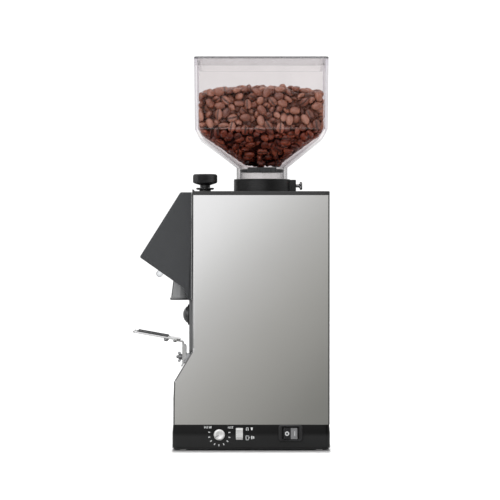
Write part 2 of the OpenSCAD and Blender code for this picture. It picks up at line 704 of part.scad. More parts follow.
// ---------- electrics ----------
module control_board() {
  color("#2f6b3c") bx(-34, 34, -34, 8, 29, 30.6);
  color("#2f6b3c") for (x = [-30, 30], y = [-30, 4]) zc(x, y, 2.5, base_top, 29.1);
  color("#22242a") { bx(-30, -6, -28, -2, 30.5, 46); bx(2, 14, -30, -18, 30.5, 40); bx(18, 32, -30, -6, 30.5, 38); bx(2, 14, -12, 4, 30.5, 34); }
}
module run_capacitor() {
  color("#d6d8da") { xc(62, 36, 13, -30, 30); for (y = [57, 67]) xc(y, 36, 1, 30 - e, 36); }
}
module cord_gland() {
  color("#161616") difference() {
    union() {
      yc(-30, 12, 6, 78, 87);
      yc(-30, 12, 8.2, by1, 87);
      yc(-30, 12, 8, 77, by1 - 3);
    }
    yc(-30, 12, 3.6, 76, 88);
  }
}

base_housing();
bottom_plate();
housing_screws();
feet();
body_shell();
front_plate();
front_screws();
top_cover();
hopper_collar();
hopper_thumbscrew();
hopper();
hopper_gate();
hopper_lid();
coffee_beans();
snout_cover();
spout();
work_lamp_lens();
outlet_duct();
anti_clump_flap();
grind_chamber();
upper_burr_carrier();
upper_burr();
lower_burr_carrier();
lower_burr();
burr_centre_nut();
motor_shaft();
rotor();
cooling_fan();
stator();
stator_windings();
motor_upper_shield();
motor_lower_shield();
motor_tie_bolts();
shaft_bearings();
thrust_bearing();
adjusting_lever();
lever_pivot_pin();
adjusting_spindle();
adjusting_nut();
adjusting_knob();
spindle_bush();
chassis();
chamber_dampers();
chamber_pillars();
push_button();
button_bezel();
microswitch();
portafilter_fork();
fork_pads();
fork_block();
fork_clamp_screw();
timer_knob();
timer_potentiometer();
selector_rocker();
selector_switch();
power_rocker();
power_switch();
control_board();
run_capacitor();
cord_gland();
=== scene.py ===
"""Looks of the burr coffee grinder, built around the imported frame. Helper coordinates are in millimetres."""
import json
import math

import bmesh
import bpy
import numpy as np
from mathutils import Matrix, Vector

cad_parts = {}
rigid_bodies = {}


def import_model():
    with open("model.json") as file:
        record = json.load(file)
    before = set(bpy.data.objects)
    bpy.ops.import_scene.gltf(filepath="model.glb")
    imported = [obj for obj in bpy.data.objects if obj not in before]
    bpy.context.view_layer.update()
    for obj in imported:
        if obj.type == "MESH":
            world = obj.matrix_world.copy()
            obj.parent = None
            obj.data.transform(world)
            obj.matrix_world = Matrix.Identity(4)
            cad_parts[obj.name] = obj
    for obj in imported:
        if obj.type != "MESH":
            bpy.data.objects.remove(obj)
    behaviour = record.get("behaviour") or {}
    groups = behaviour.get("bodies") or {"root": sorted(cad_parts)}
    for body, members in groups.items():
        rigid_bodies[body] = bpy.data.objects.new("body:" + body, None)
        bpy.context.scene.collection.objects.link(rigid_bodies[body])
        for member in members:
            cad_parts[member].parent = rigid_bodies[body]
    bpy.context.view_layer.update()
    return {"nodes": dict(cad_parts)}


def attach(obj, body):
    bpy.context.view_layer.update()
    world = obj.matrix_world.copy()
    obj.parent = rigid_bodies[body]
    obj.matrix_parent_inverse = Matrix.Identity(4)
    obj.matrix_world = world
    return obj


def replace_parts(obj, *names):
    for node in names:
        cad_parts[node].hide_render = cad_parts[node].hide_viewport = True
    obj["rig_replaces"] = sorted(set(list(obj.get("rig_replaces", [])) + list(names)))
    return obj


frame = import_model()
nodes = frame["nodes"]
MM = 0.001
TAU = 2 * math.pi
GY, HY, KY = 26.2, 25.4, -25.2  # depth of the grinding axis, the hopper's centre and the adjusting knob


# ------------------------------------------------------------------ geometry helpers
def rr_ring(hx, hy, r, z, cx=0.0, cy=0.0, k=6):
    """A rounded rectangle as a ring of 4(k+1) points at height z."""
    r = min(r, hx - 1e-3, hy - 1e-3)
    pts = []
    for sx, sy, a0 in ((1, 1, 0), (-1, 1, 90), (-1, -1, 180), (1, -1, 270)):
        for i in range(k + 1):
            a = math.radians(a0 + 90 * i / k)
            pts.append((cx + sx * (hx - r) + r * math.cos(a), cy + sy * (hy - r) + r * math.sin(a), z))
    return pts


def loft(rings, cap0=True, cap1=True, closed=False):
    n, m = len(rings[0]), len(rings)
    v = [p for ring in rings for p in ring]
    f = []
    for i in range(m if closed else m - 1):
        a, b = i * n, ((i + 1) % m) * n
        for j in range(n):
            k = (j + 1) % n
            f.append((a + j, a + k, b + k, b + j))
    if not closed:
        if cap0:
            f.append(tuple(range(n - 1, -1, -1)))
        if cap1:
            f.append(tuple((m - 1) * n + j for j in range(n)))
    return v, f


def lathe(profile, n=64, closed=False, wave=None):
    """Turns (radius, height) points round the local Z axis."""
    v, f, idx = [], [], []
    for r, h in profile:
        if r < 1e-6:
            idx.append([len(v)])
            v.append((0.0, 0.0, h))
            continue
        idx.append(list(range(len(v), len(v) + n)))
        for j in range(n):
            a = TAU * j / n
            q = r if wave is None else wave(r, h, j)
            v.append((q * math.cos(a), q * math.sin(a), h))
    m = len(profile)
    for i in range(m if closed else m - 1):
        A, B = idx[i], idx[(i + 1) % m]
        if len(A) == 1 and len(B) == 1:
            continue
        for j in range(n):
            k = (j + 1) % n
            if len(A) == 1:
                f.append((A[0], B[k], B[j]))
            elif len(B) == 1:
                f.append((A[j], A[k], B[0]))
            else:
                f.append((A[j], A[k], B[k], B[j]))
    return v, f


def moved(part, m):
    return [tuple(m @ Vector(p)) for p in part[0]], part[1]


def at(x, y, z, axis="z", turn=0.0):
    """Matrix that puts a part made along local Z at a place, along +X, +Y, -Y or +Z."""
    spin = Matrix.Rotation(math.radians(turn), 4, "Z")
    turnto = {
        "z": Matrix.Identity(4),
        "x": Matrix.Rotation(math.pi / 2, 4, "Y"),
        "y": Matrix.Rotation(-math.pi / 2, 4, "X"),
        "-y": Matrix.Rotation(math.pi / 2, 4, "X"),
    }[axis]
    return Matrix.Translation((x, y, z)) @ turnto @ spin


def inset(poly, d):
    """A counter-clockwise polygon moved inwards by d."""
    n, out = len(poly), []
    for i in range(n):
        (ax, ay), (bx, by), (cx, cy) = poly[i - 1], poly[i], poly[(i + 1) % n]
        l1, l2 = math.hypot(bx - ax, by - ay), math.hypot(cx - bx, cy - by)
        n1 = (-(by - ay) / l1, (bx - ax) / l1)
        n2 = (-(cy - by) / l2, (cx - bx) / l2)
        sx, sy = n1[0] + n2[0], n1[1] + n2[1]
        q = max(sx * n1[0] + sy * n1[1], 0.2)
        out.append((bx + d * sx / q, by + d * sy / q))
    return out


def area2(poly):
    return sum(a[0] * b[1] - b[0] * a[1] for a, b in zip(poly, poly[1:] + poly[:1]))


def fillet(poly, radii, k=4, is_open=False):
    """Rounds each corner of a polygon, or of an open line, by its radius."""
    n, out = len(poly), []
    for i in range(n):
        r = radii[i] if isinstance(radii, (list, tuple)) else radii
        p1 = Vector(poly[i])
        if r <= 0 or (is_open and i in (0, n - 1)):
            out.append(tuple(p1))
            continue
        p0, p2 = Vector(poly[i - 1]), Vector(poly[(i + 1) % n])
        a, b = (p0 - p1).normalized(), (p2 - p1).normalized()
        ang = a.angle(b)
        if ang > math.pi - 0.02:
            out.append(tuple(p1))
            continue
        t = min(r / math.tan(ang / 2), 0.48 * (p0 - p1).length, 0.48 * (p2 - p1).length)
        rr = t * math.tan(ang / 2)
        c = p1 + (a + b).normalized() * (rr / math.sin(ang / 2))
        s, e = p1 + a * t - c, p1 + b * t - c
        a0, a1 = math.atan2(s.y, s.x), math.atan2(e.y, e.x)
        d = (a1 - a0 + math.pi) % TAU - math.pi
        for j in range(k + 1):
            out.append((c.x + rr * math.cos(a0 + d * j / k), c.y + rr * math.sin(a0 + d * j / k)))
    return out


def solid(poly, lo, hi, axis, r0=0.0, r1=None, steps=3):
    """Extrudes an outline along an axis, with both end edges rounded. x takes (y, z), y takes (x, z), z takes (x, y)."""
    r1 = r0 if r1 is None else r1
    if area2(poly) < 0:
        poly = poly[::-1]
    seq = []
    for i in range(steps + 1 if r0 > 0 else 1):
        a = math.pi / 2 * i / steps if r0 > 0 else math.pi / 2
        seq.append((lo + r0 * (1 - math.cos(a)) if r0 > 0 else lo, r0 * (1 - math.sin(a))))
    for i in range(steps + 1 if r1 > 0 else 1):
        a = math.pi / 2 * i / steps if r1 > 0 else 0.0
        seq.append((hi - r1 * (1 - math.sin(a)) if r1 > 0 else hi, r1 * (1 - math.cos(a))))
    put = {"x": lambda p, t: (t, p[0], p[1]), "y": lambda p, t: (p[0], t, p[1]), "z": lambda p, t: (p[0], p[1], t)}[axis]
    rings = []
    for t, d in seq:
        q = inset(poly, d) if d > 1e-6 else poly
        rings.append([put(p, t) for p in q])
    return loft(rings)


def rect(x0, x1, y0, y1, r=0.0, k=4):
    p = [(x0, y0), (x1, y0), (x1, y1), (x0, y1)]
    return fillet(p, r, k) if r > 0 else p


def block(x0, x1, y0, y1, z0, z1, r=0.0):
    return solid(rect(x0, x1, y0, y1, r), z0, z1, "z", r * 0.9)


def rod(x, y, z, r, lo, hi, axis="z", c=0.0, n=48):
    """A round bar from lo to hi along an axis, with chamfered ends."""
    prof = [(0, lo), (r - c, lo), (r, lo + c), (r, hi - c), (r - c, hi), (0, hi)] if c > 0 else [(0, lo), (r, lo), (r, hi), (0, hi)]
    x, y, z = (0 if axis == "x" else x, 0 if axis == "y" else y, 0 if axis == "z" else z)
    return moved(lathe(prof, n), at(x, y, z, axis))


def mesh_of(name, parts):
    v, f = [], []
    for pv, pf in parts:
        o = len(v)
        v += [(p[0] * MM, p[1] * MM, p[2] * MM) for p in pv]
        f += [tuple(i + o for i in q) for q in pf]
    me = bpy.data.meshes.new(name)
    me.from_pydata(v, [], f)
    bm = bmesh.new()
    bm.from_mesh(me)
    bmesh.ops.remove_doubles(bm, verts=bm.verts, dist=2e-7)
    bmesh.ops.dissolve_degenerate(bm, edges=bm.edges, dist=1e-7)
    bmesh.ops.recalc_face_normals(bm, faces=bm.faces)
    bm.to_mesh(me)
    bm.free()
    return me


def raw(name, *parts):
    ob = bpy.data.objects.new(name, mesh_of(name, parts))
    bpy.context.scene.collection.objects.link(ob)
    return ob


def bake(ob):
    """Applies the object's modifiers to its mesh."""
    bpy.context.view_layer.update()
    dg = bpy.context.evaluated_depsgraph_get()
    me = bpy.data.meshes.new_from_object(ob.evaluated_get(dg), depsgraph=dg)
    old = ob.data
    ob.modifiers.clear()
    ob.data = me
    me.name = ob.name
    bpy.data.meshes.remove(old)


def combine(ob, parts, op="DIFFERENCE"):
    """Cuts parts out of an object, or joins them to it. The parts don't touch each other."""
    if not parts:
        return ob
    other = raw("tool", *parts)
    m = ob.modifiers.new("b", "BOOLEAN")
    m.operation, m.solver, m.object = op, "EXACT", other
    bake(ob)
    me = other.data
    bpy.data.objects.remove(other)
    bpy.data.meshes.remove(me)
    return ob


def soften(ob, width=0.0, seg=2, angle=35, sharp=32, clamp=False):
    """Rounds the sharp edges, then shades smoothly with weighted normals."""
    if width > 0:
        m = ob.modifiers.new("bevel", "BEVEL")
        m.width, m.segments, m.limit_method = width * MM, seg, "ANGLE"
        m.angle_limit = math.radians(angle)
        m.use_clamp_overlap = clamp
        m.miter_outer = "MITER_ARC"
        bake(ob)
    bm = bmesh.new()
    bm.from_mesh(ob.data)
    bmesh.ops.dissolve_degenerate(bm, edges=bm.edges, dist=1e-7)
    gaps = [e for e in bm.edges if e.is_boundary]
    if gaps:
        bmesh.ops.holes_fill(bm, edges=gaps, sides=4)
    if bm.calc_volume(signed=True) < 0:
        bmesh.ops.reverse_faces(bm, faces=bm.faces[:])
    bm.to_mesh(ob.data)
    bm.free()
    ob.data.shade_smooth()
    ob.data.set_sharp_from_angle(angle=math.radians(sharp))
    w = ob.modifiers.new("normals", "WEIGHTED_NORMAL")
    w.keep_sharp, w.weight = True, 60
    return ob


def piece(ob, material, body="grinder", cad=()):
    ob.data.materials.clear()
    ob.data.materials.append(material)
    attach(ob, body)
    if cad:
        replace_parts(ob, *cad)
    return ob


# ------------------------------------------------------------------ materials
def shade(color, k):
    return tuple(min(max(c * k, 0.0), 1.0) for c in color[:3]) + (1.0,)


def new_material(name):
    m = bpy.data.materials.new(name)
    m.use_nodes = True
    nt = m.node_tree
    nt.nodes.clear()
    out = nt.nodes.new("ShaderNodeOutputMaterial")
    return m, nt, out


def object_coords(nt, scale=(1, 1, 1)):
    tc = nt.nodes.new("ShaderNodeTexCoord")
    mp = nt.nodes.new("ShaderNodeMapping")
    mp.inputs["Scale"].default_value = scale
    nt.links.new(tc.outputs["Object"], mp.inputs["Vector"])
    return mp.outputs["Vector"]


def noise(nt, vec, scale, detail=3.0, rough=0.55):
    n = nt.nodes.new("ShaderNodeTexNoise")
    n.inputs["Scale"].default_value = scale
    n.inputs["Detail"].default_value = detail
    n.inputs["Roughness"].default_value = rough
    nt.links.new(vec, n.inputs["Vector"])
    return n.outputs["Fac"]


def remap(nt, value, a0, a1, b0, b1):
    m = nt.nodes.new("ShaderNodeMapRange")
    m.inputs["From Min"].default_value, m.inputs["From Max"].default_value = a0, a1
    m.inputs["To Min"].default_value, m.inputs["To Max"].default_value = b0, b1
    nt.links.new(value, m.inputs["Value"])
    return m.outputs["Result"]


def blend_color(nt, fac, a, b):
    m = nt.nodes.new("ShaderNodeMix")
    m.data_type = "RGBA"
    nt.links.new(fac, m.inputs["Factor"])
    for i, c in ((6, a), (7, b)):
        if isinstance(c, tuple):
            m.inputs[i].default_value = c if len(c) == 4 else c + (1.0,)
        else:
            nt.links.new(c, m.inputs[i])
    return m.outputs[2]


def ramp(nt, fac, stops):
    r = nt.nodes.new("ShaderNodeValToRGB")
    e = r.color_ramp.elements
    while len(e) < len(stops):
        e.new(0.5)
    for el, (p, c) in zip(e, stops):
        el.position = p
        el.color = c if len(c) == 4 else c + (1.0,)
    nt.links.new(fac, r.inputs["Fac"])
    return r.outputs["Color"]


def surface(name, color, rough=0.5, metal=0.0, spec=0.5, var=0.08, var_scale=45, rvar=0.06,
            grain=700, bump=0.05, depth=0.02, stretch=(1, 1, 1), wear=0.0, coat=0.0, aniso=0.0, painted_shade_band=None):
    """A solid finish: colour and roughness drift over the surface, with a fine bump and lighter worn edges."""
    m, nt, out = new_material(name)
    b = nt.nodes.new("ShaderNodeBsdfPrincipled")
    nt.links.new(b.outputs["BSDF"], out.inputs["Surface"])
    b.inputs["Metallic"].default_value = metal
    b.inputs["Specular IOR Level"].default_value = spec
    if coat > 0:
        b.inputs["Coat Weight"].default_value = coat
        b.inputs["Coat Roughness"].default_value = 0.12
    if aniso > 0:
        b.inputs["Anisotropic"].default_value = aniso
    vec = object_coords(nt, stretch)
    big = noise(nt, vec, var_scale, 4.0)
    base = blend_color(nt, remap(nt, big, 0.3, 0.7, 0.0, 1.0), shade(color, 1 - var), shade(color, 1 + var))
    # painted shade: from z0 to z1 the colour blends to a darker copy, k times the colour
    if painted_shade_band:
        z0, z1, k = painted_shade_band
        sep = nt.nodes.new("ShaderNodeSeparateXYZ")
        nt.links.new(object_coords(nt), sep.inputs[0])
        base = blend_color(nt, remap(nt, sep.outputs["Z"], z0 * MM, z1 * MM, 0.0, 1.0), base, shade(color, k))
    if wear > 0:
        geo = nt.nodes.new("ShaderNodeNewGeometry")
        edge = remap(nt, geo.outputs["Pointiness"], 0.515, 0.56, 0.0, wear)
        base = blend_color(nt, edge, base, shade(color, 1.8))
    nt.links.new(base, b.inputs["Base Color"])
    fine = noise(nt, vec, grain, 2.0)
    nt.links.new(remap(nt, noise(nt, vec, var_scale * 3, 3.0), 0.3, 0.7, rough - rvar, rough + rvar), b.inputs["Roughness"])
    if bump > 0:
        bp = nt.nodes.new("ShaderNodeBump")
        bp.inputs["Strength"].default_value = bump
        bp.inputs["Distance"].default_value = depth * MM * 10
        nt.links.new(fine, bp.inputs["Height"])
        nt.links.new(bp.outputs["Normal"], b.inputs["Normal"])
    return m


def clear(name, through, edge_color, mirror=0.04, rough=0.04, edge=0.5, power=3.0):
    """Clear moulded plastic: see-through, mirror-like, and thickening to a tinted haze where it is seen edge-on."""
    m, nt, out = new_material(name)
    tr = nt.nodes.new("ShaderNodeBsdfTransparent")
    gl = nt.nodes.new("ShaderNodeBsdfGlossy")
    di = nt.nodes.new("ShaderNodeBsdfTranslucent")
    gl.inputs["Color"].default_value = (1, 1, 1, 1)
    vec = object_coords(nt)
    nt.links.new(remap(nt, noise(nt, vec, 60, 3), 0.3, 0.7, rough * 0.6, rough * 1.5), gl.inputs["Roughness"])
    n1 = noise(nt, vec, 25, 3)
    nt.links.new(blend_color(nt, remap(nt, n1, 0.3, 0.7, 0, 1), shade(through, 0.985), shade(through, 1.01)), tr.inputs["Color"])
    di.inputs["Color"].default_value = edge_color + (1.0,)
    lw = nt.nodes.new("ShaderNodeLayerWeight")
    lw.inputs["Blend"].default_value = 0.5
    pw = nt.nodes.new("ShaderNodeMath")
    pw.operation = "POWER"
    pw.inputs[1].default_value = power
    nt.links.new(lw.outputs["Facing"], pw.inputs[0])
    sc = nt.nodes.new("ShaderNodeMath")
    sc.operation = "MULTIPLY"
    sc.inputs[1].default_value = edge
    nt.links.new(pw.outputs[0], sc.inputs[0])
    haze = nt.nodes.new("ShaderNodeMixShader")
    nt.links.new(sc.outputs[0], haze.inputs[0])
    nt.links.new(tr.outputs[0], haze.inputs[1])
    nt.links.new(di.outputs[0], haze.inputs[2])
    f5 = nt.nodes.new("ShaderNodeMath")
    f5.operation = "POWER"
    f5.inputs[1].default_value = 6.0
    nt.links.new(lw.outputs["Facing"], f5.inputs[0])
    mix = nt.nodes.new("ShaderNodeMixShader")
    nt.links.new(remap(nt, f5.outputs[0], 0, 1, mirror, 1.0), mix.inputs[0])
    nt.links.new(haze.outputs[0], mix.inputs[1])
    nt.links.new(gl.outputs[0], mix.inputs[2])
    nt.links.new(mix.outputs[0], out.inputs["Surface"])
    return m


steel = surface("shell_steel", (0.62, 0.618, 0.608), rough=0.13, metal=1.0, var=0.006, var_scale=14, rvar=0.01,
                grain=2500, bump=0.01, depth=0.0004)
# painted shade: the side of the base is coloured far darker above 12.4 to 15.6 mm
plastic = surface("base_black", (0.0165, 0.0167, 0.0169), rough=0.42, spec=0.27, var=0.10, rvar=0.05, grain=1500, bump=0.10, depth=0.003, painted_shade_band=(12.4, 15.6, 0.08))
cover = surface("cover_black", (0.020, 0.020, 0.020), rough=0.42, spec=0.5, var=0.08, rvar=0.04, grain=1600, bump=0.12, depth=0.003, wear=0.15)
collar_m = surface("collar_plastic", (0.012, 0.012, 0.012), rough=0.40, spec=0.45, var=0.1, rvar=0.05, grain=1500, bump=0.08, depth=0.003)
snout_m = surface("snout_grey", (0.042, 0.044, 0.047), rough=0.55, spec=0.45, var=0.04, var_scale=30, rvar=0.04, grain=1800, bump=0.16, depth=0.004, wear=0.05)
flange_m = surface("flange_plastic", (0.38, 0.381, 0.383), rough=0.42, spec=0.5, var=0.05, rvar=0.04, grain=1600, bump=0.1, depth=0.003)
plate_m = surface("front_plastic", (0.135, 0.136, 0.138), rough=0.42, spec=0.5, var=0.05, rvar=0.04, grain=1600, bump=0.1, depth=0.003)
spout_m = surface("spout_grey", (0.225, 0.228, 0.231), rough=0.36, spec=0.6, var=0.05, rvar=0.05, grain=1100, bump=0.06, depth=0.003)
knob_m = surface("knob_plastic", (0.022, 0.022, 0.023), rough=0.38, spec=0.5, var=0.1, rvar=0.05, grain=1400, bump=0.06, depth=0.003)
bush_m = surface("bush_black", (0.02, 0.02, 0.02), rough=0.36, spec=0.5, var=0.1, grain=900, bump=0.05, depth=0.003)
button_m = surface("button_plastic", (0.035, 0.036, 0.038), rough=0.2, spec=0.9, var=0.08, grain=1400, bump=0.04, depth=0.003)
fork_m = surface("fork_steel", (0.74, 0.74, 0.735), rough=0.22, metal=1.0, var=0.03, var_scale=60, rvar=0.05, grain=1100, bump=0.03, depth=0.003, stretch=(0.15, 1, 1))
pad_m = surface("pad_rubber", (0.035, 0.035, 0.036), rough=0.6, spec=0.35, var=0.1, grain=1500, bump=0.15, depth=0.004)
block_m = surface("block_alu", (0.50, 0.505, 0.51), rough=0.36, metal=1.0, var=0.05, grain=900, bump=0.08, depth=0.004)
screw_m = surface("zinc_screws", (0.62, 0.62, 0.60), rough=0.28, metal=1.0, var=0.08, var_scale=120, grain=900, bump=0.04, depth=0.003)
chrome_m = surface("thumbscrew_chrome", (0.34, 0.34, 0.345), rough=0.27, metal=1.0, var=0.04, var_scale=150, grain=900, bump=0.02, depth=0.003)
clamp_m = surface("clamp_steel", (0.34, 0.34, 0.345), rough=0.36, metal=0.9, var=0.1, var_scale=150, grain=900, bump=0.06, depth=0.003)
dial_m = surface("dial_silver", (0.80, 0.80, 0.79), rough=0.38, metal=0.35, spec=0.5, var=0.03, var_scale=90, grain=1200, bump=0.05, depth=0.003)
selector_m = surface("selector_grey", (0.60, 0.60, 0.59), rough=0.42, spec=0.45, var=0.04, grain=1400, bump=0.06, depth=0.003)
rocker_m = surface("rocker_black", (0.018, 0.018, 0.019), rough=0.27, spec=0.6, var=0.1, grain=1400, bump=0.03, depth=0.003)
switch_m = surface("switch_black", (0.016, 0.016, 0.017), rough=0.36, spec=0.5, var=0.1, grain=1400, bump=0.06, depth=0.003)
gate_m = surface("gate_black", (0.018, 0.018, 0.019), rough=0.35, spec=0.5, var=0.08, grain=1400, bump=0.05, depth=0.003)
gland_m = surface("gland_black", (0.016, 0.016, 0.016), rough=0.55, spec=0.4, var=0.1, grain=1500, bump=0.12, depth=0.004)
rubber = surface("feet_rubber", (0.014, 0.014, 0.014), rough=0.75, spec=0.3, var=0.15, grain=1300, bump=0.3, depth=0.006)
bottom_m = surface("bottom_steel", (0.03, 0.03, 0.031), rough=0.5, spec=0.4, var=0.12, grain=1200, bump=0.2, depth=0.004)
print_m = surface("legend_white", (0.62, 0.63, 0.63), rough=0.5, spec=0.4, var=0.05, grain=2500, bump=0.05, depth=0.002)
neck_m = clear("hopper_neck", (0.845, 0.835, 0.835), (0.34, 0.33, 0.36), mirror=0.03, edge=1.0, power=2.6)
funnel_m = clear("hopper_funnel", (0.905, 0.885, 0.885), (0.60, 0.56, 0.68), mirror=0.0008, edge=1.0, power=6.0)
# painted highlight: a more reflective copy of the clear plastic for a narrow band along the fold
fold_highlight_m = clear("hopper_fold_painted_highlight", (0.90, 0.89, 0.89), (0.60, 0.56, 0.62), mirror=0.07, edge=1.0, power=4.0)
hopper_m = clear("hopper_clear", (0.905, 0.892, 0.893), (0.60, 0.56, 0.68), mirror=0.004, edge=1.0, power=5.0)
lid_m = clear("lid_clear", (0.9985, 0.996, 0.997), (0.82, 0.80, 0.82), mirror=0.015, edge=0.8, power=3.0)
# painted shade: a darker, less clear copy of the clear plastic for the lid's rim
lid_rim_painted_shade_m = clear("lid_rim", (0.36, 0.355, 0.36), (0.11, 0.107, 0.117), mirror=0.02, edge=0.9, power=1.2)
lens_m = clear("lens_clear", (0.88, 0.89, 0.90), (0.50, 0.50, 0.52), edge=0.9, power=1.5)

# ------------------------------------------------------------------ base
OFF = [(2.3, 0.3), (2.4, 0.12), (2.6, 0.03), (2.9, 0.0), (13.0, 0.0), (16.0, 0.05), (20.0, 0.35), (22.4, 0.55), (22.8, 0.72), (23.0, 1.05)]


def crown(z):
    """How far the base's side lies inside its widest outline at height z."""
    return float(np.interp(z, [p[0] for p in OFF], [p[1] for p in OFF]))


rings = [rr_ring(57, 67, 2.5, z, 0, 16.4) for z in (20.5, 2.3)]
rings += [rr_ring(60 - d, 70 - d, 4.2 - 0.3 * d, z, 0, 16.4) for z, d in OFF]
base = raw("base_housing_skin", loft(rings))
boss = [(-52, -44), (52, -44), (-52, 77), (52, 77)]
combine(base, [rod(x, y, 0, 4, 2.5, 20.8) for x, y in boss], "UNION")
combine(base, [rod(x, y, 0, 1.5, 1, 14) for x, y in boss]
        + [block(-22, 22, 18, 42, 18, 25), rod(0, -11.9, 14, 2, 55, 61.5, "x"),
           block(56, 61.5, 2.5, 9.3, 9.2, 20.4), block(56, 61.5, 42.3, 60.3, 9.3, 20.4),
           rod(-30, 0, 12, 6, 82, 88, "y")]
        + [rod(x, y, 0, 1.5, 19, 24) for x in (-44, 44) for y in (4, 48)])
soften(base, 0.22, 2)
piece(base, plastic, "grinder", ("base_housing",))

# ------------------------------------------------------------------ shell
front = fillet([(-52.8, 23.0), (-52.7, 46.0), (-52.1, 61.13), (-35.5, 88.9), (-35.5, 226.7)], [0, 8, 5, 8, 0], k=7, is_open=True)
zs = [p[1] for p in front]
rings = []
for (y, z) in front:
    rings.append(rr_ring(59, (86.1 - y) / 2, 1.3, z, 0, (86.1 + y) / 2, k=5))
for (y, z) in reversed(front):
    rings.append(rr_ring(57.8, (84.9 - y - 1.2) / 2, 0.5, z, 0, (84.9 + y + 1.2) / 2, k=5))
shell = raw("body_shell_skin", loft(rings, closed=True))
cuts = [block(5, 22, -37.5, -32, 194, 216), rod(0, 0, 119.7, 7.9, -37.5, -33, "y")]
cuts += [rod(x, 0, 119.7, 2.55, -37.5, -33, "y", n=24) for x in (-11, 11)]
for i in range(7):
    for x in (-32, 8):
        cuts.append(solid(rect(x, x + 24, 40 + 7 * i, 43 + 7 * i, 1.45, 5), 82, 88, "y"))
combine(shell, cuts)
soften(shell, 0.0, sharp=40)
piece(shell, steel, "grinder", ("body_shell",))
# painted shade: the rounded edges along the slope, the lower front and the back get a dark steel, drawing a dark line
# along them
shell.data.materials.append(surface("shell_edge_painted_shade", (0.17, 0.17, 0.168), rough=0.22, metal=1.0, var=0.01, grain=2500, bump=0.01, depth=0.0004))
for f in shell.data.polygons:
    n = abs(f.normal.x)
    if 0.10 < n < 0.985 and abs(f.center.x) > 0.05765 and (f.center.z < 0.0895 or f.center.y > 0.08):
        f.material_index = 1

# ------------------------------------------------------------------ front plate
plate = raw("front_plate_skin", solid(fillet([(-39.2, 85.1), (-37.9, 85.1), (-35.53, 89.1), (-35.53, 226.7), (-39.2, 226.7)], [0.5, 0.1, 0.5, 0.1, 0.1], 3), -24.7, 24.7, "x", 0.7))
combine(plate, [rod(0, 0, 119.7, 7.9, -41, -33, "y"), block(5, 22, -41, -33, 194, 216)])
soften(plate, 0.15, 2)
piece(plate, plate_m, "grinder", ("front_plate",))

# ------------------------------------------------------------------ top cover with its lip
top = raw("top_cover_skin", solid(rect(-59.5, 59.5, -36, 86.2, 3.2, 6), 226.7, 230.3, "z", 0.35, 0.8))
lip = solid(fillet([(-36, 229.2), (-36, 231.9), (-35, 231.9), (-33.2, 229.2)], [0, 0.4, 0.5, 0], 3), -55, 55, "x", 0.5)
combine(top, [lip], "UNION")
screws = [(-53.6, -30.2), (53.6, -30.2), (-53.6, 80), (53.6, 80)]
combine(top, [rod(0, GY, 0, 23.05, 225, 232, n=96), rod(0, KY, 0, 5.3, 225, 232)] + [rod(x, y, 0, 3.0, 229.1, 232, n=40) for x, y in screws])
combine(top, [rod(x, y, 0, 1.6, 225, 229.6, n=24) for x, y in screws])
soften(top, 0.15, 2)
piece(top, cover, "grinder", ("top_cover",))


def screw_head(x, y, z, r=2.9, h=1.4, shank=1.5, down=6.0, turn=20):
    """A pan head with a cross recess, on its shank."""
    prof = [(0, -down), (shank * 0.7, -down), (shank, -down + 0.5), (shank, 0), (r * 0.97, 0), (r, 0.15), (r, h * 0.42), (r * 0.93, h * 0.72),
            (r * 0.75, h * 0.9), (r * 0.5, h * 0.98), (0, h)]
    s = raw("screw", moved(lathe(prof, 32), at(x, y, z)))
    cross = []
    for a in (turn, turn + 90):
        cross.append(moved(block(-r * 0.62, r * 0.62, -r * 0.13, r * 0.13, h * 0.25, h * 2), at(x, y, z, "z", a)))
    combine(s, cross[:1])
    combine(s, cross[1:])
    return s


def join(name, obs):
    """Joins the objects' meshes into one new object, and removes the objects."""
    bm = bmesh.new()
    for o in obs:
        bm.from_mesh(o.data)
    me = bpy.data.meshes.new(name)
    bm.to_mesh(me)
    bm.free()
    ob = bpy.data.objects.new(name, me)
    bpy.context.scene.collection.objects.link(ob)
    for o in obs:
        d = o.data
        bpy.data.objects.remove(o)
        bpy.data.meshes.remove(d)
    return ob


heads = [screw_head(x, y, 229.1, r=2.85, h=1.15, turn=20 + 37 * i) for i, (x, y) in enumerate(screws)]
for i, (x, y) in enumerate(boss):
    s = screw_head(x, y, 0, r=2.8, h=0.7, down=8, turn=11 + 50 * i)
    for v in s.data.vertices:
        v.co.z = 0.001 - v.co.z
    s.data.flip_normals()
    heads.append(s)
for i, (x, y) in enumerate([(-44, 4), (-44, 48), (44, 4), (44, 48)]):
    heads.append(screw_head(x, y, 25, r=3, h=2, down=3.5, turn=30 * i))
hs = join("housing_screw_set", heads)
soften(hs, 0.0, sharp=30)
piece(hs, screw_m, "grinder", ("housing_screws",))

# ------------------------------------------------------------------ hopper collar and its thumbscrew
prof = [(17.0, 224.3), (17.4, 224), (22.6, 224), (23.0, 224.4), (23.0, 230.32), (25.2, 230.32), (25.5, 230.6)]
z = 231.0
for i in range(7):
    prof += [(25.5, z), (25.5, z + 0.95), (25.24, z + 1.1), (25.24, z + 1.3)]
    z += 1.4
prof += [(25.5, 241.0), (25.5, 241.4), (25.2, 241.85), (24.8, 242), (23.75, 242), (23.3, 241.8), (23.1, 241.3), (23.1, 232), (17.3, 232), (17.0, 231.7)]
collar = raw("hopper_collar_skin", moved(lathe(prof, 128, closed=True), at(0, GY, 0)))
combine(collar, [solid(rect(-6, 6, 49.9, 56.9, 0.9, 3), 230.33, 241.4, "z", 0.25, 0.6)], "UNION")
combine(collar, [rod(0, 0, 235.9, 1.45, 46, 58, "y")])
combine(collar, [block(x, x + 1.2, y, y + 0.9, 229.5, 240.6) for x in (-6.6, 5.4) for y in (52.3, 54.6)])
soften(collar, 0.0, sharp=38)
piece(collar, collar_m, "grinder", ("hopper_collar",))


def knurl(n, depth):
    def wave(r, h, j):
        return r - (depth if j % 2 else 0.0)
    return wave


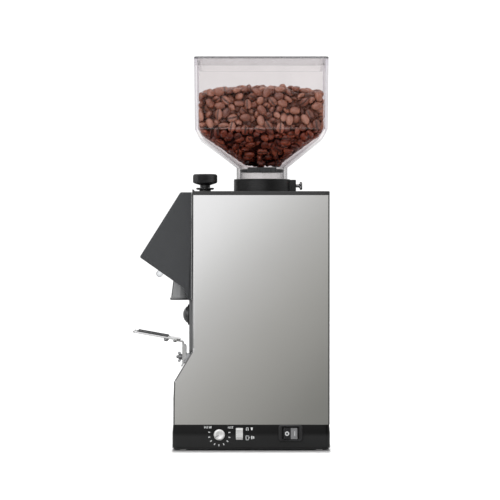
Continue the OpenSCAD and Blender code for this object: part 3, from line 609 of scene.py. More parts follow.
prof = [(0, 0), (1.0, 0), (1.35, 0.4)]
y = 0.6
while y < 6.6:
    prof += [(1.4, y), (1.15, y + 0.2)]
    y += 0.4
prof += [(1.4, 7.1), (1.4, 9.9), (1.85, 10.0), (2.0, 10.2), (2.0, 10.8), (0, 10.8)]
stem = lathe(prof, 32)
head = lathe([(0, 10.7), (3.1, 10.7), (3.5, 10.95), (3.6, 11.2), (3.6, 12.2), (3.45, 12.6), (3.1, 12.95), (2.4, 13.0), (0, 12.95)], 56,
             wave=lambda r, h, j: r - (0.2 if (j % 2 and r > 3.4) else 0.0))
screw = raw("hopper_thumbscrew_skin", moved(stem, at(0, 49.6, 235.9, "y")))
combine(screw, [moved(head, at(0, 49.6, 235.9, "y"))], "UNION")
combine(screw, [block(-2.2, 2.2, 61.9, 64, 235.55, 236.25)])
soften(screw, 0.0, sharp=30)
piece(screw, chrome_m, "thumbscrew", ("hopper_thumbscrew",))

# ------------------------------------------------------------------ hopper
def hopper_rings(path, corner, k=7):
    rings = []
    for h, z in path:
        r = corner(z, h)
        t = min(max((z - 252) / 25.5, 0), 1)
        rings.append(rr_ring(h, h, r, z, 0, GY + (HY - GY) * t, k))
    return rings


def outer_corner(z, h):
    t = min(max((z - 252.0) / 25.5, 0.0), 1.0)
    return max(23.0 + (7.0 - 23.0) * t, 7.0) if t < 1 else 7.0


def inner_corner(z, h):
    t = min(max((z - 253.0) / 25.5, 0.0), 1.0)
    return 19.6 + (5.2 - 19.6) * t


outer = fillet([(23.0, 232.05), (23.0, 252.0), (55.0, 277.5), (58.7, 284.81), (59.1, 285.6), (59.111, 286.5), (59.9, 348.0)], [0, 1.2, 3, 0, 0.8, 0, 0], 6, True)
inner = fillet([(20.0, 232.05), (20.0, 252.6), (51.7, 278.0), (56.6, 286.1), (57.4, 348.0)], [0, 1.0, 2, 0.8, 0], 5, True)
outer[0] = (22.7, 232.05)
outer.insert(1, (23.0, 232.4))
outer[-1] = (59.89, 347.6)
outer.append((59.6, 347.95))
inner[-1] = (57.4, 347.6)
inner.append((57.7, 347.95))
rings = hopper_rings(outer, outer_corner) + hopper_rings(inner, inner_corner)[::-1]
hopper = raw("hopper_shell", loft(rings, closed=True))
combine(hopper, [block(0, 25.5, GY - 20.2, GY + 20.2, 247.7, 251.1)])
soften(hopper, 0.0, sharp=30)
piece(hopper, hopper_m, "hopper", ("hopper",))
hopper.data.materials.append(funnel_m)
hopper.data.materials.append(fold_highlight_m)
hopper.data.materials.append(neck_m)
for f in hopper.data.polygons:
    z = f.center.z / MM
    # painted highlight: faces along the fold at 284.85 to 286.45 mm get the reflective copy, drawing a light line
    if 284.85 < z < 286.45 and max(abs(f.center.x / MM), abs(f.center.y / MM - HY)) > 57.9:
        f.material_index = 2
    elif 253 < z < 286:
        f.material_index = 1
    elif z <= 252.2:
        f.material_index = 3

gate = raw("hopper_gate_skin", moved(lathe([(0, 247.9), (19.3, 247.9), (19.7, 248.3), (19.7, 250.5), (19.3, 250.9), (18.4, 250.9), (18.0, 250.4), (0, 250.4)], 96), at(0, GY, 0)))
combine(gate, [solid(rect(10, 28, GY - 13, GY + 13, 1.5, 4), 247.95, 250.88, "z", 0.3, 0.3)], "UNION")
combine(gate, [solid(rect(25.6, 28, GY - 13, GY + 13, 0.8, 4), 250.2, 252.2, "z", 0.1, 0.5)], "UNION")
combine(gate, [solid(rect(27.6, 30, GY - 10 + 2.5 * i, GY - 9 + 2.5 * i, 0.3, 3), 248.6, 251.6, "z") for i in range(8)])
soften(gate, 0.0, sharp=35)
piece(gate, gate_m, "gate", ("hopper_gate",))

lid = raw("hopper_lid_skin", solid([(p[0], p[1] + HY) for p in rect(-59.9, 59.9, -59.9, 59.9, 7, 7)], 348.02, 350, "z", 0.3, 0.7))
skirt = [rr_ring(56.6, 56.6, 5, z, 0, HY) for z in (348.6, 342.3)] + [rr_ring(56.2, 56.2, 4.8, 342.02, 0, HY), rr_ring(55.3, 55.3, 4.2, 342.02, 0, HY)] + [rr_ring(54.8, 54.8, 4, z, 0, HY) for z in (342.3, 348.6)]
combine(lid, [loft(skirt, closed=True)], "UNION")
combine(lid, [solid([(p[0], p[1] + HY) for p in rect(-53, 53, -53, 53, 5, 6)], 349.55, 351, "z")])
combine(lid, [solid([(p[0], p[1] + HY) for p in rect(-50.5, 50.5, -50.5, 50.5, 4, 6)], 349.2, 349.9, "z", 0.0, 0.3)], "UNION")
soften(lid, 0.0, sharp=35)
piece(lid, lid_m, "lid", ("hopper_lid",))
# painted shade: the upright faces of the lid's rim get the darker copy, drawing a dark edge line
lid.data.materials.append(lid_rim_painted_shade_m)
for f in lid.data.polygons:
    c = f.center
    if abs(f.normal.z) < 0.8 and c.z > 0.3479 and max(abs(c.x), abs(c.y - HY * MM)) > 0.0575:
        f.material_index = 1

# ------------------------------------------------------------------ snout, spout, lens
snout_out = [(-36.05, 229.8), (-47.1, 229.8), (-83.7, 171.6), (-45.6, 144.9), (-42.9, 141.0), (-40, 133), (-36.05, 133)]
snout_in = [(-35, 227.8), (-46.8, 227.8), (-81.1, 172.35), (-43.4, 145.9), (-41.4, 142.6), (-39.6, 137.5), (-39.6, 130), (-35, 130)]
snout = raw("snout_cover_skin", solid(fillet(snout_out, [0.1, 2.2, 1.5, 6, 10, 0.3, 0.1], 5), -27, 27, "x", 0.9, steps=4))
combine(snout, [solid(snout_in, -25, 25, "x")])
combine(snout, [rod(x, 0, z, 3.4, y, -37.6, "y") for x in (-20, 20) for z, y in ((222, -46.5), (162, -50))], "UNION")
combine(snout, [block(-16.5, 16.5, -59, -35, 128, 156, 0.4)] + [rod(x, 0, z, 1.5, -44, -36, "y", n=24) for x in (-20, 20) for z in (222, 162)])
LENS = Matrix.Translation((0, -65, 158.56)) @ Matrix.Rotation(math.radians(-35.15), 4, "X")
combine(snout, [moved(lathe([(0, -4), (3.02, -4), (3.02, 4), (0, 4)], 48), LENS)])
flange = raw("flange", solid(rect(-27.06, 27.06, 133.1, 229.7, 0.2, 2), -37.35, -36.06, "y"))
combine(flange, [block(-24.9, 24.9, -38, -35, 130, 227.6)])
combine(snout, [(np.array([tuple(v.co) for v in flange.data.vertices]) / MM, [tuple(f.vertices) for f in flange.data.polygons])], "UNION")
bpy.data.objects.remove(flange)
soften(snout, 0.0, sharp=35)
piece(snout, snout_m, "grinder", ("snout_cover",))
snout.data.materials.append(flange_m)
for f in snout.data.polygons:
    c = f.center / MM
    if c.y > -37.42 and (abs(c.x) > 26.8 or c.z > 229.4):
        f.material_index = 1

lens = raw("work_lamp_dome", moved(lathe([(0, -5.5), (0.6, -5.44), (1.2, -5.25), (1.75, -4.93), (2.2, -4.54), (2.6, -4.0), (2.85, -3.4), (3.0, -2.6), (3.0, 3.3), (2.8, 3.5), (0, 3.5)], 48), LENS))
soften(lens, 0.0, sharp=40)
piece(lens, lens_m, "grinder", ("work_lamp_lens",))


def spout_rings(d, low, high):
    """Cross-sections of the spout going up: the oval outlet, then the funnel that reaches the duct."""
    keys = [  # z, x0, x1, y0, y1, corner
        (133.0, -14, 14, -56.1, -40.1, 7.5), (140, -14, 14, -55.2, -40.1, 7.3), (152, -14, 14, -53.6, -40.1, 6.6),
        (157.5, -14, 14, -53.6, -40.1, 6.0), (160, -14, 14, -54.2, -40.1, 5.4), (168, -14, 14, -57.1, -40.1, 5.0),
        (172, -14, 15.2, -58.6, -40.1, 5.0), (176, -14, 17.6, -60, -40.1, 5.0), (186, -14, 23.2, -60, -40.1, 5.0),
        (192, -14, 23.4, -60, -40.1, 5.0), (204, -14, 23.4, -55.2, -40.1, 4.5), (216, -14, 23.4, -50.5, -40.1, 4.0)]
    col = list(zip(*keys))
    out = []
    for z in sorted(set([low, high] + [k[0] for k in keys if low < k[0] < high])):
        x0, x1, y0, y1, r = (float(np.interp(z, col[0], c)) for c in col[1:])
        out.append(rr_ring((x1 - x0) / 2 - d, (y1 - y0) / 2 - d, max(r - d, 1.5), z, (x0 + x1) / 2, (y0 + y1) / 2, 6))
    return out


so = spout_rings(0, 135.4, 216)
bead = [rr_ring(14 + q, 8 + q, 7.5 + q, z, 0, -48.1, 6) for z, q in ((135.2, 0.25), (134.9, 0.5), (134.4, 0.62), (133.7, 0.62), (133.25, 0.45), (133.0, 0.1))]
spout_skin = raw("spout_skin", loft(bead[::-1] + so))
inner = [rr_ring(12.4, 6.4, 5.9, z, 0, -48.1, 6) for z in (130.0, 133.6)]
combine(spout_skin, [loft(inner + spout_rings(1.5, 134.6, 214.5))])
combine(spout_skin, [block(6.8, 20.2, -43, -38, 196, 214)])
soften(spout_skin, 0.0, sharp=40)
piece(spout_skin, spout_m, "grinder", ("spout",))
spout_skin.data.materials.append(snout_m)
# painted shade: the bottom rim and the faces turned to the front get the dark snout grey, drawing dark edge lines
for f in spout_skin.data.polygons:
    if f.center.z < 0.1341 or f.normal.y < -0.88:
        f.material_index = 1

# ------------------------------------------------------------------ push button
bez = raw("button_bezel_skin", moved(lathe([(7.85, -39.25), (7.85, -40.4), (8.15, -40.75), (8.5, -40.8), (8.9, -40.7), (9.3, -40.3), (9.4, -39.9), (9.4, -39.25)], 96, closed=True), at(0, 0, 119.7, "y")))
soften(bez, 0.0, sharp=45)
piece(bez, collar_m, "grinder", ("button_bezel",))
prof = [(0, -45.2), (1.5, -45.08), (3.0, -44.71), (4.4, -44.12), (5.6, -43.37), (6.6, -42.54), (7.2, -41.9), (7.5, -41.3), (7.5, -36.8), (7.2, -36.4), (6.0, -36.4), (5.9, -39.2), (3.0, -39.2), (3.0, -37.9), (1.5, -37.6), (1.5, -25), (1.2, -24.5), (0, -24.5)]
btn = raw("push_button_skin", moved(lathe(prof, 96), at(0, 0, 119.7, "y")))
soften(btn, 0.0, sharp=50)
piece(btn, button_m, "button", ("push_button",))

# ------------------------------------------------------------------ fork, pads, block, clamp screw
TILT = Matrix.Translation((0, -44.9, 96.05)) @ Matrix.Rotation(math.radians(-10.2), 4, "X")


def plan(d=0.0):
    """Outline of the fork's two prongs, in its own plane."""
    p = [(-28 + d, -2.5 - d), (-28 + d, -45.9 + d), (-20 - d, -45.9 + d), (-20 - d, -12 - d), (20 + d, -12 - d), (20 + d, -45.9 + d), (28 - d, -45.9 + d), (28 - d, -2.5 - d)]
    return fillet(p, [3.5 - d, 3.4 - d, 3.4 - d, 8 + d, 8 + d, 3.4 - d, 3.4 - d, 3.5 - d], 7)


def plan_slab(z0, z1, r):
    seq = [(z0, r), (z0 + 0.3 * r, 0.3 * r), (z0 + r, 0), (z1 - r, 0), (z1 - 0.3 * r, 0.3 * r), (z1, r)]
    return loft([[(p[0], p[1], z) for p in plan(d)] for z, d in seq])


forkp = raw("portafilter_fork_skin", moved(plan_slab(0, 1.6, 0.25), TILT))
leg = [(-53.7, 96.31), (-45.8, 94.89), (-45.8, 75.7), (-47.15, 73.45), (-45.8, 72.65), (-44.2, 75.3), (-44.2, 96.01), (-53.46, 97.68)]
combine(forkp, [solid(fillet(leg, [0.2, 1.0, 2.0, 0.4, 0.4, 2.4, 2.4, 0.0], 6), -10, 10, "x", 0.2)], "UNION")
for x in (-10, 8.7):
    combine(forkp, [solid(fillet([(-44.9, 79), (-43.2, 79), (-42.1, 80.6), (-42.1, 91.4), (-43.2, 93), (-44.9, 93)], [0, 1.2, 1.5, 1.5, 1.2, 0], 4), x, x + 1.3, "x", 0.15)], "UNION")
combine(forkp, [solid(fillet([(-2.1, 73.9), (2.1, 73.9), (2.1, 83.6), (-2.1, 83.6)], 2.05, 8), -47, -43, "y")])
combine(forkp, [moved(lathe([(0, -1), (1.2, -1), (1.2, 3), (0, 3)], 32), TILT @ Matrix.Translation((x * 24, -15.2, 0))) for x in (-1, 1)])
rivets = [moved(lathe([(0, -2.5), (0.8, -2.45), (1.4, -2.2), (1.7, -1.7), (1.7, -1.3), (0, -1.2)], 28), TILT @ Matrix.Translation((x, -7.4, 0))) for x in (-5.5, 5.5)]
combine(forkp, rivets, "UNION")
soften(forkp, 0.12, 2, angle=40)
piece(forkp, fork_m, "fork", ("portafilter_fork",))
forkp.data.materials.append(pad_m)
# painted shade: the bent-down stem and its cheeks get a darker copy of the fork steel
forkp.data.materials.append(surface("fork_stem_painted_shade", (0.50, 0.50, 0.495), rough=0.26, metal=1.0, var=0.03, var_scale=60, rvar=0.05, grain=1100, bump=0.03, depth=0.003))
tilt_back = TILT.inverted()
for f in forkp.data.polygons:
    c = tilt_back @ (f.center / MM)
    if c.z < -0.02 and -9.4 < c.y < -5.4 and abs(abs(c.x) - 5.5) < 1.9 and f.center.z > 0.0925:
        f.material_index = 1
    elif f.center.z < 0.0945 and f.center.y > -0.0475:
        f.material_index = 2

pads = []
for x in (-24, 24):
    pads.append(moved(solid(rect(x - 3.2, x + 3.2, -42.2, -13.8, 2.4, 6), 1.62, 2.6, "z", 0.1, 0.4), TILT))
    pads.append(moved(lathe([(0, -2.6), (1.2, -2.55), (1.8, -2.2), (2.0, -1.7), (2.0, -0.35), (1.9, -0.05), (1.18, -0.02), (1.18, 1.63), (0, 1.63)], 32), TILT @ Matrix.Translation((x, -15.2, 0))))
padset = raw("fork_pad_pair", *pads)
soften(padset, 0.0, sharp=45)
piece(padset, pad_m, "fork", ("fork_pads",))
padset.data.materials.append(block_m)
tilt_back = TILT.inverted()
for f in padset.data.polygons:
    c = tilt_back @ (f.center / MM)
    if c.z < -0.01:
        f.material_index = 1

blk = raw("fork_block_skin", solid([(-44.1, 75.6), (-43.49, 75.6), (-37.88, 84.9), (-44.1, 84.9)], -8.4, 8.4, "x", 0.4))
combine(blk, [rod(0, 0, 81.5, 2.02, -46, -41.4, "y")] + [rod(x, 0, 82, 1.5, -42.2, -34, "y", n=24) for x in (-5.5, 5.5)])
soften(blk, 0.15, 2)
piece(blk, block_m, "grinder", ("fork_block",))

hub = [(0, -51.2), (0.9, -51.15), (1.3, -50.8), (1.3, -49.5), (2.0, -49.4), (2.5, -49.1), (2.7, -48.6), (2.7, -46.3), (2.4, -46.0), (2.0, -45.95)]
y = -45.6
while y < -42.4:
    hub += [(2.0, y), (1.75, y + 0.25)]
    y += 0.5
hub += [(1.9, -42.2), (1.6, -41.7), (0, -41.6)]
wing = raw("fork_clamp_screw_skin", moved(lathe(hub, 48), at(0, 0, 81.5, "y")))
for s_ in (-1, 1):
    p = [(-48.9, 81.5 + s_ * 1.6), (-49.9, 81.5 + s_ * 3.4), (-49.6, 81.5 + s_ * 4.9), (-47.6, 81.5 + s_ * 4.6), (-46.9, 81.5 + s_ * 3.0), (-46.8, 81.5 + s_ * 1.6)]
    combine(wing, [solid(fillet(p, [0.2, 1.0, 0.9, 0.9, 0.6, 0.2], 4), -1.1, 1.1, "x", 0.4)], "UNION")
soften(wing, 0.0, sharp=45)
piece(wing, clamp_m, "clamp", ("fork_clamp_screw",))
wing.data.materials.append(block_m)
for f in wing.data.polygons:
    if abs(f.center.z / MM - 81.5) > 2.1:
        f.material_index = 1

# ------------------------------------------------------------------ adjusting knob and its bush
prof = [(0, 234.4), (4.3, 234.4), (4.6, 234.7), (4.6, 236.3), (5.0, 236.75), (7, 237.3), (9.6, 238.15), (10.55, 238.65), (10.95, 239.2), (11, 239.8), (11, 244.9), (10.8, 245.5), (10.35, 246.1), (9.8, 246.45), (9.2, 246.6),
        (8.6, 246.5), (8.2, 246.25), (7.6, 246.15), (0, 246.15)]
knob = raw("adjusting_knob_skin", moved(lathe(prof, 144, wave=lambda r, h, j: r - (0.42 * (0.5 - 0.5 * math.cos(TAU * j / 2)) if (r > 10.5 and 239 < h < 245.6) else 0.0)), at(0, KY, 0)))
combine(knob, [solid(rect(-0.55, 0.55, KY - 8.9, KY - 4.5, 0.5, 3), 245.75, 247.5, "z")])
combine(knob, [rod(0, KY, 0, 3.0, 234, 240)])
soften(knob, 0.0, sharp=35)
piece(knob, knob_m, "knob", ("adjusting_knob",))
bush = raw("spindle_bush_skin", moved(lathe([(3.06, 225.1), (5.0, 225.1), (5.2, 225.3), (5.2, 232.4), (6.9, 232.4), (7.3, 232.5), (8.0, 232.95), (8.1, 233.2), (8.1, 233.9), (7.8, 234.2), (3.3, 234.2), (3.06, 234.0)], 72, closed=True), at(0, KY, 0)))
combine(bush, [moved(lathe([(3.06, 225), (8.7, 225), (9, 225.2), (9, 226.5), (8.7, 226.7), (3.06, 226.7)], 6, closed=True), at(0, KY, 0))], "UNION")
soften(bush, 0.0, sharp=35)
piece(bush, bush_m, "grinder", ("spindle_bush",))

# ------------------------------------------------------------------ controls on the side of the base
SIDE = Matrix.Translation((60, 0, 0))


def facing(y, z, x=60.0):
    """Matrix for a part drawn in (y, z) with its own Z pointing out of the side."""
    return Matrix(((0, 0, 1, x), (1, 0, 0, y), (0, 1, 0, z), (0, 0, 0, 1)))


prof = [(0, -8), (1.5, -8), (1.5, 0.3), (4.6, 0.3), (4.95, 0.5), (5.0, 0.8), (5.0, 1.35), (4.75, 1.75), (4.3, 2.1), (3.9, 2.3), (3.5, 2.4), (3.1, 2.33), (2.2, 1.9), (1.1, 1.64), (0, 1.58)]
dial = raw("timer_knob_skin", moved(lathe(prof, 96, wave=lambda r, h, j: r - (0.16 if (j % 4 in (0, 1) and r > 4.7 and 0.4 < h < 2) else 0.0)), facing(-11.9, 14)))
combine(dial, [moved(solid(rect(0.5, 4.3, -0.5, 0.5, 0.4, 4), 1.35, 3, "z"), facing(-11.9, 14) @ Matrix.Rotation(math.radians(212), 4, "Z"))])
soften(dial, 0.0, sharp=35)
piece(dial, dial_m, "timer", ("timer_knob",))
# painted shade: the floor of the pointer groove is coloured darker grey than the dial
dial.data.materials.append(surface("dial_pointer", (0.42, 0.42, 0.425), rough=0.5, spec=0.4, var=0.05, grain=1200, bump=0.05, depth=0.002))
for f in dial.data.polygons:
    if abs(f.center.x / MM - 61.35) < 0.02 and f.normal.x > 0.9:
        f.material_index = 1


def decal(y, z, poly, hole=None, t=0.07):
    """A thin printed mark on the side of the base."""
    x = 60.0 - crown(z)
    outer_ = [(p[0], p[1]) for p in poly]
    if hole is None:
        a = loft([[(p[0], p[1], h) for p in outer_] for h in (-0.05, t)])
    else:
        a = loft([[(p[0], p[1], h) for p in q] for q, h in ((outer_, -0.05), (outer_, t), (hole, t), (hole, -0.05))], closed=True)
    return moved(a, facing(y, z, x))


def strokes(y, z, lines, w=0.34, t=0.07):
    """Letters and signs drawn as bars: each line is (y0, z0, y1, z1) about the mark's centre."""
    out = []
    for y0, z0, y1, z1 in lines:
        d = Vector((y1 - y0, z1 - z0))
        l = d.length
        d.normalize()
        n = Vector((-d.y, d.x)) * w / 2
        e = d * w / 2
        a, b = Vector((y0, z0)) - e, Vector((y1, z1)) + e
        out.append(decal(y, z, [tuple(a - n), tuple(b - n), tuple(b + n), tuple(a + n)], t=t))
    return out


GLYPH = {
    "M": [(-0.5, -0.7, -0.5, 0.7), (-0.5, 0.7, 0, 0), (0, 0, 0.5, 0.7), (0.5, 0.7, 0.5, -0.7)],
    "I": [(0, -0.7, 0, 0.7)],
    "N": [(-0.45, -0.7, -0.45, 0.7), (-0.45, 0.7, 0.45, -0.7), (0.45, -0.7, 0.45, 0.7)],
    "A": [(-0.5, -0.7, 0, 0.7), (0, 0.7, 0.5, -0.7), (-0.28, -0.2, 0.28, -0.2)],
    "X": [(-0.45, -0.7, 0.45, 0.7), (-0.45, 0.7, 0.45, -0.7)],
}


def word(text, y, z, step=1.75, size=1.0, wide=1.0):
    out = []
    y0 = y - step * (len(text) - 1) / 2
    for i, ch in enumerate(text):
        out += strokes(y0 + i * step, z, [(a * size * wide, b * size, c * size * wide, d * size) for a, b, c, d in GLYPH[ch]], w=0.36 * size)
    return out


marks = []
for a in (166, 193, 217, 243, 268, 295, 322, 346, 13):
    c, s = math.cos(math.radians(a)), math.sin(math.radians(a))
    marks += strokes(-11.9 + 9.2 * c, 14 + 9.2 * s, [(-0.42 * c, -0.42 * s, 0.42 * c, 0.42 * s)], w=0.85)
marks += word("MIN", -22.1, 20.5, 2.2, 1.55) + word("MAX", -1.9, 20.5, 1.55, 1.4, 0.72)


def cup(y, z, w, h, handle):
    """A small cup outline, w wide and h high."""
    p = [(-w, h, -w * 0.8, -h), (-w * 0.8, -h, w * 0.8, -h), (w * 0.8, -h, w, h), (-w, h, w, h)]
    if handle:
        p += [(w * 1.05, h * 0.55, w * 1.6, h * 0.3), (w * 1.6, h * 0.3, w * 1.05, -h * 0.3)]
    return strokes(y, z, p, w=0.62)


marks += cup(12.9, 18.6, 0.85, 1.75, False) + cup(13.0, 11.3, 1.3, 1.75, True)
marks += [decal(16.9, 19.0, fillet([(-1.0, 1.5), (-0.45, -1.5), (0.45, -1.5), (1.0, 1.5)], 0.3, 3)), decal(17.2, 11.6, rect(-0.95, 0.4, -1.45, 1.45, 0.4, 3)), decal(18.6, 11.6, rect(-0.5, 0.5, -1.1, 1.1, 0.4, 3))]
legend = raw("side_legend", *marks)
soften(legend, 0.0)
piece(legend, print_m, "grinder")

yz_side = fillet([(57, 9.7), (59.9, 9.4), (60.9, 11.6), (60.5, 14.8), (60.9, 18), (59.9, 20.2), (57, 19.9)], [0.1, 0.9, 1.6, 6, 1.6, 0.9, 0.1], 5)
sel = raw("selector_rocker_skin", solid(yz_side, 2.8, 9.0, "y", 0.35))
combine(sel, [rod(57, 0, 14.8, 1.4, 3.2, 8.6, "y")], "UNION")
combine(sel, [block(60.35, 62, 3.5, 8.3, 11.5 + i * 1.5, 11.85 + i * 1.5) for i in (0, 1)] + [block(60.35, 62, 3.5, 8.3, 16.2 + i * 1.5, 16.55 + i * 1.5) for i in (0, 1)])
soften(sel, 0.0, sharp=35)
piece(sel, selector_m, "selector", ("selector_rocker",))

frame_out = rect(40.6, 62.0, 8.4, 22.6, 2.2, 6)
pw = raw("power_switch_skin", moved(loft([[(p[0], p[1], h) for p in (inset(frame_out, d) if d else frame_out)] for h, d in ((0, 0), (0.55, 0), (0.8, 0.12), (0.95, 0.38), (1.0, 0.7))]), facing(0, 0)))
combine(pw, [block(46, 60.2, 42.3, 60.3, 9.3, 20.4)], "UNION")
combine(pw, [moved(loft([[(p[0], p[1], h) for p in rect(43.8 - q, 58.8 + q, 9.9 - q, 21.1 + q, 0.8 + q, 4)] for h, q in ((-4.6, 0), (0.45, 0), (0.75, 0.25), (1.4, 0.9))]), facing(0, 0))])
combine(pw, [block(40, 46.5, y - 0.4, y + 0.4, 11, 17) for y in (45, 51.3, 57.6)], "UNION")
combine(pw, [rod(58.5, 51.3, 0, 1.25, 9.1, 10.0, n=32)])
soften(pw, 0.0, sharp=38)
piece(pw, switch_m, "grinder", ("power_switch",))

ROCK = Matrix.Translation((58.5, 51.3, 0)) @ Matrix.Rotation(math.radians(7), 4, "Z")
rk = solid(fillet([(2.6, -6.6), (2.35, -3.6), (1.9, 0), (2.35, 3.6), (2.6, 6.6), (-1.5, 5.8), (-1.5, -5.8)][::-1], [0.4, 0.4, 0.9, 3, 6, 3, 0.9], 4), 10.05, 20.2, "z", 0.4)
rocker = raw("power_rocker_skin", moved(rk, ROCK), rod(58.5, 51.3, 0, 1.2, 9.35, 10.3))
soften(rocker, 0.0, sharp=32)
piece(rocker, rocker_m, "power", ("power_rocker",))
# painted light: the raised half of the rocker face is coloured a lighter grey than the rest
rocker.data.materials.append(surface("rocker_painted_highlight", (0.20, 0.20, 0.205), rough=0.32, spec=0.6, var=0.1, grain=1400, bump=0.03, depth=0.003))
for p in rocker.data.polygons:
    if abs(p.normal.x) > 0.8 and p.center.x > 0.0592 and p.center.y > 0.0516:
        p.material_index = 1


def on_rocker(y):
    """Where a mark lies on the rocker's face, at y along it from its middle."""
    x = float(np.interp(y, [-6.6, -3.6, 0, 3.6, 6.6], [2.6, 2.35, 1.98, 2.35, 2.6]))
    lean = -math.atan2(float(np.interp(y + 0.8, [-6.6, -3.6, 0, 3.6, 6.6], [2.6, 2.35, 1.98, 2.35, 2.6])) - x, 0.8)
    return ROCK @ Matrix.Translation((x, y, 15.1)) @ Matrix.Rotation(lean, 4, "Z") @ facing(0, 0, 0)


ring_o = [(1.95 * math.cos(TAU * i / 40), 1.95 * math.sin(TAU * i / 40)) for i in range(40)]
ring_i = [(0.95 * math.cos(TAU * i / 40), 0.95 * math.sin(TAU * i / 40)) for i in range(40)]
o_sign = moved(loft([[(p[0], p[1], h) for p in q] for q, h in ((ring_o, -0.15), (ring_o, 0.06), (ring_i, 0.06), (ring_i, -0.15))], closed=True), on_rocker(-3.4))
i_sign = moved(loft([[(p[0], p[1], h) for p in rect(-0.3, 0.3, -2.0, 2.0, 0.1, 2)] for h in (-0.15, 0.06)]), on_rocker(3.5))
signs = raw("power_rocker_signs", o_sign, i_sign)
soften(signs, 0.0)
piece(signs, print_m, "power")

# ------------------------------------------------------------------ gland, feet, bottom plate
prof = [(3.6, 77.2), (7.6, 77.0), (8.0, 77.4), (8.0, 83.2), (7.8, 83.4), (6.0, 83.4), (6.0, 86.41), (8.2, 86.41), (8.2, 86.6), (7.9, 86.9), (7.3, 87.0), (5.2, 87.0), (4.4, 86.9), (3.9, 86.5), (3.6, 86.0)]
gland = raw("cord_gland_skin", moved(lathe(prof, 72, closed=True), at(-30, 0, 12, "y")))
soften(gland, 0.0, sharp=40)
piece(gland, gland_m, "grinder", ("cord_gland",))

foot = []
for x, y in [(-44, -37), (44, -37), (-44, 70), (44, 70)]:
    foot.append(moved(lathe([(0, 0.25), (3.0, 0.25), (3.3, 0.0), (6.4, 0.0), (6.9, 0.15), (7.0, 0.5), (6.95, 0.95), (2.5, 1.0), (2.5, 2.3), (3.6, 2.32), (3.4, 3.2), (2.6, 3.5), (0, 3.5)], 48), at(x, y, 0)))
feet = raw("rubber_feet", *foot)
soften(feet, 0.0, sharp=50)
piece(feet, rubber, "grinder", ("feet",))

bp = raw("bottom_plate_skin", solid([(p[0], p[1]) for p in rect(-58.6, 58.6, -52.6, 85.1, 3, 6)], 1.0, 2.3, "z", 0.35, 0.1))
combine(bp, [rod(x, y, 0, 1.6, 0, 3, n=24) for x, y in boss] + [rod(x, y, 0, 2.5, 0, 3, n=32) for x in (-44, 44) for y in (-37, 70)]
        + [solid(rect(-21, 21, 5 + 6 * i, 8 + 6 * i, 1.4, 5), 0, 3, "z") for i in range(7)])
soften(bp, 0.0, sharp=35)
piece(bp, bottom_m, "grinder", ("bottom_plate",))

# ------------------------------------------------------------------ beans: spheres in pairs, pushed apart until they pack
EDGE_Z = [252.9, 254.2, 256.9, 261.2, 265.2, 269.3, 273.3, 277.4, 281.5, 285.0, 290.0, 340.0]
EDGE_H = [16.5, 17.3, 19.0, 24.6, 30.2, 35.6, 41.0, 46.6, 52.7, 55.2, 55.8, 55.9]
EDGE_C = [16.5, 17.3, 17.5, 16.0, 14.0, 12.0, 10.0, 8.0, 6.0, 5.5, 5.0, 5.0]
RS, LINK = 3.0, 1.7


def wall(p):
    """Distance outside the beans' space (negative inside), and the direction inwards, for each point."""
    z = p[:, 2]
    h, c = np.interp(z, EDGE_Z, EDGE_H), np.interp(z, EDGE_Z, EDGE_C)
    t = np.clip((z - 252.0) / 25.5, 0, 1)
    x, y = p[:, 0], p[:, 1] - (GY + (HY - GY) * t)
    qx, qy = np.abs(x) - (h - c), np.abs(y) - (h - c)
    mx, my = np.maximum(qx, 0), np.maximum(qy, 0)
    out = np.hypot(mx, my)
    d = out + np.minimum(np.maximum(qx, qy), 0) - c
    nx = np.where(out > 1e-9, mx / np.maximum(out, 1e-9), (qx > qy) * 1.0) * np.sign(x)
    ny = np.where(out > 1e-9, my / np.maximum(out, 1e-9), (qx <= qy) * 1.0) * np.sign(y)
    slope = (np.interp(z + 0.5, EDGE_Z, EDGE_H) - np.interp(z - 0.5, EDGE_Z, EDGE_H))
    k = 1 / np.sqrt(1 + slope ** 2)
    n = np.stack([-nx * k, -ny * k, slope * k], 1)
    return d * k, n


def heap(x, y):
    """Height of the top of the beans."""
    u, v = x / 55.0, (y - HY) / 55.0
    return 324.4 - 4.6 * np.abs(v) ** 3.2 - 2.0 * np.abs(u) ** 3 + 0.9 * np.sin(3.1 * u + 0.6) * np.cos(4.3 * v - 0.4)


